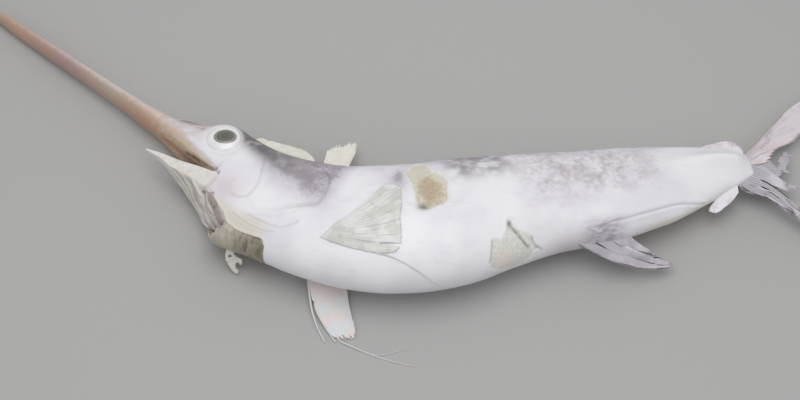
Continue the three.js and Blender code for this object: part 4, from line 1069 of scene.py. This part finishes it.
MEAT_LILAC = paint(192, 182, 170)
MEAT_BROWN = paint(148, 138, 124)
MEAT_STREAK = paint(112, 102, 92)
MEAT_GREEN = paint(124, 122, 88)
SHRED_WHITE = paint(226, 224, 214)


def torn_sheet(grid, kept, thick):
    """A thin closed sheet over the kept cells of a grid: its points, faces and places on the grid."""
    rows, columns = kept.shape
    cells = np.argwhere(kept)
    reached, edge_cells = np.zeros_like(kept), [tuple(cells[len(cells) // 2])]
    while edge_cells:
        r, c = edge_cells.pop()
        if 0 <= r < rows and 0 <= c < columns and kept[r, c] and not reached[r, c]:
            reached[r, c] = True
            edge_cells += [(r + 1, c), (r - 1, c), (r, c + 1), (r, c - 1)]
    normal = surface_normals(grid, loop=False) * (np.asarray(thick)[..., None] / 2)
    points = np.concatenate([(grid + normal).reshape(-1, 3), (grid - normal).reshape(-1, 3)])
    shift, width = grid.shape[0] * grid.shape[1], grid.shape[1]
    faces = []
    for r, c in np.argwhere(reached):
        corners = [r * width + c, (r + 1) * width + c, (r + 1) * width + c + 1, r * width + c + 1]
        faces.append(tuple(corners))
        faces.append(tuple(n + shift for n in reversed(corners)))
        beside = [(r, c - 1), (r + 1, c), (r, c + 1), (r - 1, c)]
        for side, (br, bc) in enumerate(beside):
            if not (0 <= br < rows and 0 <= bc < columns and reached[br, bc]):
                a, b = corners[side], corners[(side + 1) % 4]
                faces.append((b, a, a + shift, b + shift))
    used = np.unique(np.concatenate([np.array(f) for f in faces]))
    number = np.full(len(points), -1)
    number[used] = np.arange(len(used))
    return points[used], [tuple(int(number[n]) for n in f) for f in faces], used % shift


share = np.linspace(0, 1, THROAT_COLUMNS)[:, None]
drop = np.linspace(0, 1, THROAT_ROWS)[None]
angle = mix(profile(THROAT_TOP)(mix(300, THROAT_REAR, share)), THROAT_BOTTOM, drop)
station = mix(profile(THROAT_FRONT)(angle), THROAT_REAR, share)
flat = skin_at(station, angle)
sag = profile(THROAT_SAG)(station) * bump(angle + 104, 34)
sag -= FRONT_SINK * (1 - smooth(0, 0.12, share)) * smooth(-150, -100, angle)
sag -= TOP_SINK * (1 - smooth(0, 11, profile(THROAT_TOP)(station) - angle))
fibre = grain(np.stack([station, angle * FIBRE_STRETCH, 0 * angle], -1), FIBRE_SPACING, 2)
clump = grain(flat, 26, 3)
meat = skin_at(station, angle, sag + FIBRE_RELIEF * fibre + CLUMP_RELIEF * clump)
meat[..., 2] = np.maximum(meat[..., 2], THROAT_CLEARANCE)
front_room = (station - profile(THROAT_FRONT)(angle)) / RIM_FRONT
rim_room = np.minimum(front_room, (THROAT_REAR - station) / RIM_REAR)
rim_room = np.minimum(rim_room, np.minimum(drop * RIM_TOP, (1 - drop) * RIM_BOTTOM))
torn_here = rim_room + 0.7 * grain(flat, 10, 3) + 0.25 * fibre
kept = (torn_here[1:, 1:] + torn_here[:-1, :-1]) / 2 > 0.4
points, faces, place = torn_sheet(meat, kept, THROAT_THICK * np.clip(rim_room, 0.25, 1))
marks = {
    "fibre": np.clip(0.5 + 0.5 * fibre, 0, 1),
    "right": smooth(352, 398, station),
    "front": 1 - smooth(0.5, 2.6, front_room),
    "green": spot(station, angle, (428, -74), (12, 17)),
    "white": np.zeros(angle.shape),
}
marks = {mark: values.reshape(-1)[place] for mark, values in marks.items()}

# A white shred with a hole hangs from the meat to the floor; its outline is measured across and down.
SHRED_TOP = (-400, -44, 62)
SHRED_ACROSS = (1.0, 0.0, 0.0)
SHRED_DOWN = (0.0, -0.484, -0.875)
SHRED_OUTLINE = [
    (-3, -12), (11, -12), (12, 5), (19, 16), (30, 23), (32, 32), (26, 39), (22, 33), (18, 31), (14, 38),
    (16, 47), (22, 53), (19, 64), (9, 56), (0, 44), (-5, 30), (-8, 16), (-5, 4),
]
SHRED_HOLE = (4, 13, 4.2)
SHRED_STEP = 1.2
SHRED_THICK = 1.6
SHRED_CLEARANCE = 1.5


def inside(outline, x, y):
    """Which places lie inside a closed outline."""
    crossed = np.zeros(x.shape, bool)
    for (x0, y0), (x1, y1) in zip(outline, outline[1:] + outline[:1]):
        if y0 != y1:
            reach_x = x0 + (x1 - x0) * (y - y0) / (y1 - y0)
            crossed ^= ((y0 <= y) != (y1 <= y)) & (x < reach_x)
    return crossed


wide, high = np.arange(-12, 36, SHRED_STEP), np.arange(-14, 68, SHRED_STEP)
shred_x, shred_y = np.meshgrid(wide, high, indexing="ij")
shred_grid = np.array(SHRED_TOP) + shred_x[..., None] * SHRED_ACROSS + shred_y[..., None] * SHRED_DOWN
waver = 2.2 * grain(shred_grid, 22, 2)
shred_grid[..., 0] += 1.2 * grain(shred_grid, 9, 2)
shred_grid[..., 1] += waver
shred_grid[..., 2] = np.maximum(shred_grid[..., 2], SHRED_CLEARANCE)
middle_x, middle_y = shred_x[1:, 1:] - SHRED_STEP / 2, shred_y[1:, 1:] - SHRED_STEP / 2
ragged = 0.8 * grain(shred_grid[1:, 1:], 4, 2)
kept = inside(SHRED_OUTLINE, middle_x + ragged, middle_y + ragged)
kept &= np.hypot(middle_x - SHRED_HOLE[0], middle_y - SHRED_HOLE[1]) > SHRED_HOLE[2]
shred_points, shred_faces, _ = torn_sheet(shred_grid, kept, np.full(shred_x.shape, SHRED_THICK))
faces = faces + [tuple(n + len(points) for n in face) for face in shred_faces]
points = np.concatenate([points, shred_points])
for mark, values in marks.items():
    marks[mark] = np.concatenate([values, np.full(len(shred_points), float(mark == "white"))])

meat_finish, shader, wire = new_finish("torn_meat", Coat_Weight=0.25, Coat_Roughness=0.3, Roughness=0.5)
patchy = wire.speckle(18, 5)
colour = painted(
    MEAT_KHAKI,
    (patchy.limit(0.4, 0.62), MEAT_LILAC),
    (wire.mark("front") * 0.8, MEAT_LILAC),
    (wire.mark("right") * 0.85, MEAT_BROWN),
    ((1 - wire.mark("fibre")).limit(0.4, 0.75) * (wire.mark("right") * 0.7 + 0.12), MEAT_STREAK),
    (wire.mark("green") * 0.7, MEAT_GREEN),
    (wire.mark("white"), SHRED_WHITE),
)
connect(shader, wire, colour, relief=wire.speckle(3, 5) * 0.6 + patchy * 0.4, distance=0.001)
throat = make_piece("torn_throat", points, faces, meat_finish, marks)
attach(throat, "root")
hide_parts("throat")


# Fins: stiff bony rays side by side in a thin skin, standing out as ridges on both faces. The skin between
# them has shrunk and split, and the surf has frayed their tips.
FIN_WHITE = paint(228, 222, 227)
FIN_PINK = paint(226, 212, 213)
FIN_LILAC = paint(192, 184, 196)
FIN_GREY = paint(150, 144, 154)
FIN_CREAM = paint(230, 226, 212)
FIN_IVORY = paint(240, 236, 226)
FIN_STONE = paint(232, 232, 228)
FIN_ASH = paint(214, 213, 206)
FIN_FROST = paint(220, 226, 228)
FIN_SAND = paint(230, 220, 216)
FIN_OLIVE_AND_SHADE = paint(136, 130, 100)
FIN_ROOT = paint(168, 163, 170)
RAY_OFFSETS = (-0.12, 0.0, 0.12, 0.3, 0.5, 0.7)
RAY_CREST = (0.7, 1.0, 0.7, 0.08, 0.0, 0.08)
THINNEST = 0.7
FLOOR_CLEARANCE = 0.3
SPLIT_REACH, SPLIT_WIDTH = 0.74, 0.02


def fin_finish(name, base, second, streak, amount, root=None, rooted=(0.35, 0.85), ridge=0.0):
    """Dried fin skin: clouds of two colours, darker streaks along the rays, another colour at the root."""
    material, shader, wire = new_finish(name, Coat_Weight=0.12, Coat_Roughness=0.3, Roughness=0.5)
    cloud = wire.speckle(24, 5)
    across, out = wire.mark("across"), wire.mark("out")
    lines = wire.node("CombineXYZ", None, {0: across * 70, 1: out * 3})
    lines = wire.node("TexNoise", None, {"Vector": lines, "Scale": 1.0, "Detail": 3.0})
    furrow = (1 - wire.mark("crest")) * lines.limit(0.4, 0.7)
    colour = painted(base, (cloud.limit(0.42, 0.62), second), (furrow * amount, streak))
    if root:
        colour = ((1 - out).limit(*rooted) * 0.8).tint(colour, root)
    if ridge:
        colour = (wire.mark("crest").limit(0.3, 1.0) * ridge).tint(colour, base)
    relief = lines * 0.6 + wire.speckle(4) * 0.4
    connect(shader, wire, colour, relief=relief, distance=0.0008)
    return material


def fin_sheet(at, rays, rows, thick, thin, web, fray, seed, ripple=1.0, furrow=0.45, split=-1):
    """A fin as one closed sheet, by its middle at(u, v): u from first ray to last, v from root to tip.

    thick, at the root, and web, how far the skin between rays reaches, are each for the first and last ray.
    ripple is how far the sheet waves, furrow its thickness between rays as a share, split where it is torn.
    """
    random = np.random.default_rng(seed)
    ray_reach = 1 - fray * random.random(rays)
    u, crest, reach = [], [], []
    for ray in range(rays):
        gap = (ray + 0.5) / (rays - 1)
        web_reach = SPLIT_REACH if abs(gap - split) < SPLIT_WIDTH else mix(*web, gap)
        web_reach *= 1 - fray * random.random()
        for offset, ridge in zip(RAY_OFFSETS, RAY_CREST):
            here = (ray + offset) / (rays - 1)
            if 0 <= here <= 1:
                u.append(here)
                crest.append(ridge)
                frayed = ray_reach[ray] if ridge > 0.5 else web_reach * (1 - fray * random.random())
                reach.append(min(frayed, 1))
    u, crest, reach = (np.array(a)[:, None] for a in (u, crest, reach))
    out = np.linspace(0, 1, rows + 1)[None]
    v = out * reach
    grid = at(u + 0 * v, v)
    normal = surface_normals(grid, loop=False)
    half = 0.5 * mix(mix(*thick, u), thin, v**0.7) * mix(furrow, 1, crest)
    half = np.maximum(half, THINNEST / 2)[..., None]
    grid = grid + normal * (ripple * grain(grid, 26, 2) * smooth(0.05, 0.5, v))[..., None]
    grid[..., 2] = np.maximum(grid[..., 2], FLOOR_CLEARANCE + half[..., 0])
    rings = np.concatenate([grid + normal * half, (grid - normal * half)[:, ::-1]], 1)
    marks = {}
    for mark, field in (("across", u), ("out", v), ("crest", crest)):
        face = field + 0 * v
        marks[mark] = np.concatenate([face, face[:, ::-1]], 1).reshape(-1)
    return rings.reshape(-1, 3), loop_faces(len(u), 2 * (rows + 1)), marks


def bare_ray(dots, thick_start, thick_end, steps=60, sides=8):
    """A single bare ray: a tapered cord along a smooth line."""
    line = Line(dots)
    share = np.linspace(0, 1, steps)
    middle, ahead = line.at(share), line.heading(share)
    radius = mix(thick_start, thick_end, share) / 2
    middle[:, 2] = np.maximum(middle[:, 2], FLOOR_CLEARANCE + radius)
    across = np.stack([-ahead[:, 1], ahead[:, 0], 0 * share], -1)
    across /= np.linalg.norm(across, axis=1, keepdims=True)
    up = np.cross(ahead, across)
    turn = np.linspace(0, 2 * np.pi, sides, endpoint=False)[None, :, None]
    rings = across[:, None] * np.cos(turn) + up[:, None] * np.sin(turn)
    rings = middle[:, None] + radius[:, None, None] * rings
    flat = np.full(steps * sides, 1.0)
    marks = {"across": flat * 0.5, "out": np.repeat(share, sides), "crest": flat}
    return rings.reshape(-1, 3), loop_faces(steps, sides), marks


def joined(*parts):
    """Several closed meshes as one list of points, faces and marks."""
    points, faces, start = [], [], 0
    for part_points, part_faces, _ in parts:
        points.append(part_points)
        faces += [tuple(n + start for n in face) for face in part_faces]
        start += len(part_points)
    marks = {name: np.concatenate([part[2][name] for part in parts]) for name in parts[0][2]}
    return np.concatenate(points), faces, marks


def add_fin(name, parts, material, *nodes):
    fin = make_piece(name, *parts[:2], material, parts[2])
    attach(fin, "root")
    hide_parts(*nodes)


# First dorsal fin: in front only a torn ivory band is left on the back, and behind it a flap stands over
# worn stubs. The root of each part stands in the hide.
ROOT_SINK = 8
DROOP_REACH = 107
DROOP = 9
FLAP_PALENESS = 0.6


def midline_fin(side, root, tips, droop, **sheet):
    """A fin on the midline of the back (side 1) or belly (-1), between two lines of station and height."""
    root_line, tip_line = Line(root), Line(tips)

    def at(u, v):
        station, height = np.moveaxis(mix(root_line.at(u), tip_line.at(u), v[..., None]), -1, 0)
        skin = np.where(side > 0, back_height(station), -belly_depth(station))
        point = in_body(station, skin + side * height, 0 * u)
        point[..., 2] -= droop * np.maximum(height / DROOP_REACH, 0) ** 1.5
        return point

    return fin_sheet(at, **sheet)


def bundled_fin(lines, rays, seeds, *others, **sheet):
    """A torn fin of bundles of rays, each between a line for its first ray and a line for its last one."""
    bundles = []
    for front, rear, count, seed in zip(lines[::2], lines[1::2], rays, seeds):
        front_line, rear_line = Line(front), Line(rear)

        def at(u, v):
            return mix(front_line.at(v), rear_line.at(v), u[..., None])

        bundles.append(fin_sheet(at, rays=count, seed=seed, **sheet))
    return joined(*bundles, *others)


def rayed_fan(first_ray, tips, root, **sheet):
    """A fin spread from a line of roots to a line of tips; the first ray is curved, the others ever less."""
    first_line, tip_line, root_line = Line(first_ray), Line(tips), Line(root)

    def at(u, v):
        share = v[..., None]
        chord = mix(first_line.at(0 * v), first_line.at(0 * v + 1), share)
        bend = (first_line.at(v) - chord) * (1 - u[..., None]) ** 1.5
        return mix(root_line.at(u), tip_line.at(u), share) + bend

    return fin_sheet(at, **sheet)


# The ivory fin darkens to olive towards its root; partly an olive tone, partly painted shade from the back
# beside it.
ivory_finish = fin_finish("ivory_fin", FIN_IVORY, FIN_CREAM, FIN_GREY, 0.12, FIN_OLIVE_AND_SHADE, (0.36, 0.62))
grey_finish = fin_finish("grey_fin", FIN_WHITE, FIN_LILAC, FIN_GREY, 0.9, FIN_ROOT, ridge=0.7)
skin_finish = fin_finish("worn_fin", WHITE_HIDE, PINK_HIDE, FIN_LILAC, 0.4)
BAND_TIPS = [
    (203, 27), (207, 36), (216, 41), (232, 42), (250, 50), (275, 57), (303, 61), (329, 64), (352, 56),
    (380, 40), (404, 18),
]
band = midline_fin(
    1, [(262, -ROOT_SINK), (404, -ROOT_SINK)], BAND_TIPS, DROOP,
    rays=34, rows=26, thick=(6, 6), thin=1.4, web=(0.99, 0.99), fray=0.025, seed=11, furrow=0.88,
)
stubs = midline_fin(
    1, [(404, -ROOT_SINK), (560, -ROOT_SINK)], [(414, 17), (440, 22), (500, 26), (540, 20), (580, 9)], DROOP,
    rays=24, rows=14, thick=(5, 5), thin=1.0, web=(0.8, 0.8), fray=0.35, seed=12,
)
FLAP_TIPS = [(398, 82), (409, 102), (432, 110), (454, 128), (471, 120), (488, 86)]
flap = midline_fin(
    1, [(432, -ROOT_SINK), (500, -ROOT_SINK)], FLAP_TIPS, DROOP,
    rays=16, rows=24, thick=(5, 5), thin=1.0, web=(0.97, 0.97), fray=0.09, seed=13, furrow=0.7,
)
flap[2]["out"] = mix(FLAP_PALENESS, 1, flap[2]["out"])
add_fin("dorsal_fin", joined(band, stubs, flap), ivory_finish, "dorsal_fin_first")


# Anal fin: swept back along the belly, its skin split between three bundles of rays that lie apart half way
# and together again towards the tip. Each bundle has a line for its first ray and one for its last.
ANAL_LINES = [
    [
        (380, -32, 106), (408, -46, 100), (438, -59, 90), (461, -67, 80), (509, -80, 65), (557, -83, 51),
        (606, -79, 38), (651, -65, 28),
    ], [
        (427, -12, 96), (444, -31, 90), (473, -43, 80), (501, -52, 71), (530, -58, 60), (561, -64, 49),
        (585, -68, 43), (602, -67, 39), (626, -65, 34), (646, -66, 29),
    ], [
        (426, -14, 96), (444, -34, 90), (472, -46, 80), (501, -56, 71), (530, -57, 60), (562, -58, 49),
        (586, -62, 43), (602, -69, 39), (624, -67, 34), (643, -67, 30),
    ], [
        (461, 6, 96), (474, -13, 91), (501, -34, 83), (525, -42, 72), (561, -51, 60), (585, -54, 52),
        (600, -52, 48), (617, -56, 40), (639, -62, 32),
    ], [
        (460, 3, 96), (476, -18, 91), (503, -38, 83), (527, -40, 71), (561, -44, 60), (583, -48, 54),
        (599, -55, 48),
    ], [
        (513, 16, 92), (521, -4, 88), (535, -18, 79), (559, -30, 68), (578, -38, 60), (600, -50, 50),
    ],
]
anal = bundled_fin(
    ANAL_LINES, (9, 7, 8), (51, 52, 53),
    rows=44, thick=(7, 5), thin=2.0, web=(0.97, 0.97), fray=0.03, ripple=0.6, furrow=0.5,
)
add_fin("anal_fin", anal, grey_finish, "anal_fin_first")


# Finlets: the small second dorsal and anal fins before the tail, fleshy lobes that are worn round. They grow
# straight out of the tail stock.
KNOB_TIPS = [(1452, 3), (1476, 12), (1500, 19), (1524, 26), (1540, 27), (1552, 20), (1558, 8)]
knob = midline_fin(
    1, [(1444, -14), (1548, -14)], KNOB_TIPS, 6,
    rays=16, rows=22, thick=(18, 18), thin=5.0, web=(0.99, 0.99), fray=0.02, seed=3,
    ripple=0.5, furrow=0.93,
)
add_fin("dorsal_finlet", knob, skin_finish, "dorsal_fin_second")
FINLET_TIPS = [
    (735, 74, 60), (733, 67, 58), (743, 61, 57), (757, 64, 57), (773, 77, 58), (792, 93, 59), (810, 117, 60),
]
finlet = rayed_fan(
    [(759, 110, 66), (748, 92, 62), (735, 74, 60)], FINLET_TIPS, [(759, 110, 66), (808, 135, 62)],
    rays=14, rows=20, thick=(9, 9), thin=3.0, web=(0.99, 0.99), fray=0.03, seed=4, ripple=0.8, furrow=0.85,
)
add_fin("anal_finlet", finlet, skin_finish, "anal_fin_second")


# Left pectoral fin: a long blade set low on the side, laid back over the flank. It is split once, and its
# first ray runs on as a bare thread.
LEFT_TIPS = [
    (640, -46), (661, -46), (677, -44), (685, -38), (687, -27), (686, -14), (690, 0), (686, 11), (650, 15),
]
LEFT_ROOT = [(538, -40), (560, -24)]
LEFT_LIFT = 3.2
THREAD_LIFT = (3.0, 2.4)
LEFT_THREAD = [(640, -46), (670, -50), (708, -63), (732, -78), (748, -92)]


def left_pectoral(u, v):
    """The left fin close over the skin, from a slanting root to its tips."""
    root, tip = mix(*np.array(LEFT_ROOT), u[..., None]), Line(LEFT_TIPS).at(u)
    station, angle = np.moveaxis(mix(root, tip, v[..., None]), -1, 0)
    return skin_at(station, angle, LEFT_LIFT * np.minimum(1, v * 5))


cream_finish = fin_finish("cream_fin", FIN_STONE, FIN_ASH, FIN_GREY, 0.42)
left_fin = fin_sheet(
    left_pectoral, rays=26, rows=40, thick=(5, 3), thin=1.0,
    web=(0.998, 0.998), fray=0.008, seed=17, ripple=1.2, furrow=0.8, split=0.36,
)
thread = [skin_at(s, a, THREAD_LIFT[min(i, 1)]) for i, (s, a) in enumerate(LEFT_THREAD)]
parts = joined(left_fin, bare_ray(thread, 3.2, 1.2))
add_fin("left_pectoral_fin", parts, cream_finish, "pectoral_fin_left")


# Right pectoral fin: sticks out from under the belly and lies spread on the floor. Two outer rays, a long
# thread and its branch are bare.
RIGHT_EDGE = [
    (-217, -81, 28), (-213, -106, 25), (-201, -155, 14), (-182, -194, 8), (-160, -230, 4), (-151, -242, 3),
]
RIGHT_TIPS = [
    (-151, -242, 3), (-135, -244, 3), (-119, -245, 3), (-98, -240, 3), (-101, -215, 5), (-111, -183, 8),
    (-118, -154, 12), (-122, -128, 17),
]
RIGHT_ROOT = [(-217, -81, 28), (-133, -96, 26)]
FILAMENT = [
    (-150, -205, 4), (-140, -244, 3), (-114, -259, 3), (-56, -285, 2), (-3, -302, 2), (36, -310, 2),
]
BRANCH = [(-84, -273, 3), (-71, -279, 2.4), (-43, -282, 2), (-3, -272, 2), (25, -265, 2)]
OUTER_RAYS = [
    [(-216, -81, 28), (-213, -110, 23), (-204, -170, 13), (-191, -211, 7), (-172, -250, 3)],
    [(-198, -143, 16), (-195, -167, 12), (-179, -201, 8), (-148, -250, 3)],
]
pink_finish = fin_finish("pink_fin", FIN_SAND, FIN_FROST, FIN_LILAC, 0.25)
right_fin = rayed_fan(
    RIGHT_EDGE, RIGHT_TIPS, RIGHT_ROOT, rays=34, rows=46, thick=(7, 4), thin=1.4,
    web=(0.985, 0.985), fray=0.04, seed=29, furrow=0.8,
)
outer_rays = [bare_ray(dots, 6, 3) for dots in OUTER_RAYS]
parts = joined(right_fin, *outer_rays, bare_ray(FILAMENT, 4.2, 1.6), bare_ray(BRANCH, 2, 1))
add_fin("right_pectoral_fin", parts, pink_finish, "pectoral_fin_right")


# Upper tail lobe: one of two stiff crescents on the end of the tail stock. It keeps its blade, whose hind
# edge is ragged.
UPPER_EDGE = [
    (839, 229, 47), (856, 246, 46), (884, 277, 44), (914, 309, 41), (937, 339, 39), (960, 364, 36),
    (986, 389, 33), (1011, 408, 30), (1060, 443, 23), (1110, 476, 15), (1158, 505, 8),
]
UPPER_TIPS = [
    (1158, 505, 8), (1125, 455, 14), (1085, 402, 21), (1035, 345, 30), (991, 296, 38), (967, 276, 40),
    (937, 263, 42), (915, 240, 44), (905, 218, 46), (882, 209, 48),
]
UPPER_ROOT = [(839, 229, 47), (837, 201, 49)]
upper = rayed_fan(
    UPPER_EDGE, UPPER_TIPS, UPPER_ROOT, rays=34, rows=48, thick=(12, 7), thin=1.4,
    web=(0.98, 0.9), fray=0.06, seed=21, furrow=0.75,
)
blade_finish = fin_finish("tail_blade", FIN_WHITE, FIN_PINK, FIN_LILAC, 0.5)
add_fin("upper_tail_lobe", upper, blade_finish, "tail_fin_upper")


# Lower tail lobe: stripped to its long first rays, in bundles that fray towards their tips. Grey shreds of
# skin hang in the fork between the lobes; their outline is measured along the body and to the left.
LOWER_LINES = [
    [
        (810, 142, 60), (829, 124, 58), (858, 115, 57), (881, 107, 56), (902, 89, 55), (922, 70, 53),
        (944, 52, 51), (1000, 13, 44), (1060, -20, 34), (1120, -46, 20), (1171, -62, 8),
    ], [
        (824, 158, 58), (842, 144, 57), (863, 139, 56), (883, 129, 55), (900, 110, 54), (921, 89, 52),
        (947, 65, 50), (1000, 28, 43), (1060, -7, 33), (1118, -37, 20), (1165, -60, 9),
    ], [
        (823, 153, 57.5), (845, 137, 56.5), (867, 131, 55.5), (885, 125, 54.7), (902, 115, 54),
        (923, 99, 52), (948, 75, 50), (1000, 38, 43), (1055, 5, 34), (1105, -22, 24),
    ], [
        (829, 178, 56), (854, 164, 55), (882, 151, 54), (904, 132, 53), (925, 112, 51), (950, 83, 49),
        (1000, 50, 43), (1045, 25, 35), (1080, 8, 28),
    ], [
        (829, 172, 55.5), (856, 157, 55), (884, 145, 54), (908, 139, 52), (928, 130, 50), (946, 121, 48),
    ], [
        (836, 203, 51), (862, 203, 50), (880, 200, 49), (896, 186, 48.5), (916, 168, 48), (938, 146, 48),
    ],
]
FORK_OUTLINE = [
    (840, 215), (883, 209), (906, 216), (916, 200), (928, 227), (942, 244), (956, 241), (954, 215),
    (943, 197), (947, 180), (932, 186), (918, 168), (930, 154), (950, 153), (962, 140), (942, 135),
    (924, 143), (908, 131), (887, 140), (858, 140), (830, 143),
]
FORK_HEIGHT = 46
FORK_STEP = 2.0
FORK_THICK = 2.4
FORK_BOX = (826, 968, 126, 250)
FORK_REACH = 350

left, right, near, far = FORK_BOX
wide, deep = np.arange(left, right, FORK_STEP), np.arange(near, far, FORK_STEP)
fork_x, fork_y = np.meshgrid(wide, deep, indexing="ij")
shreds = np.stack([fork_x, fork_y, 0 * fork_x + FORK_HEIGHT], -1)
shreds[..., 2] += 3 * grain(shreds, 24, 2)
ragged = 7 * grain(shreds, 12, 3) * smooth(880, 915, fork_x)
kept = inside(FORK_OUTLINE, fork_x + ragged, fork_y - ragged)
kept &= grain(shreds, 10, 3) < mix(2, 0.42, smooth(890, 925, fork_x))
points, faces, place = torn_sheet(shreds, kept[1:, 1:], np.full(fork_x.shape, FORK_THICK))
marks = {"across": (fork_y - near) / (far - near), "out": (fork_x - left) / FORK_REACH, "crest": 0 * fork_x}
marks = {mark: values.reshape(-1)[place] for mark, values in marks.items()}
lower = bundled_fin(
    LOWER_LINES, (6, 5, 8), (61, 62, 63), (points, faces, marks),
    rows=48, thick=(10, 7), thin=1.6, web=(0.9, 0.9), fray=0.1, ripple=0.7,
)
add_fin("lower_tail_lobe", lower, grey_finish, "tail_fin_lower")


# The boxes of the plain solids and of the dressed fish.
size = {"cad": [list(corner) for corner in cad_box], "visual": [list(corner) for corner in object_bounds()]}
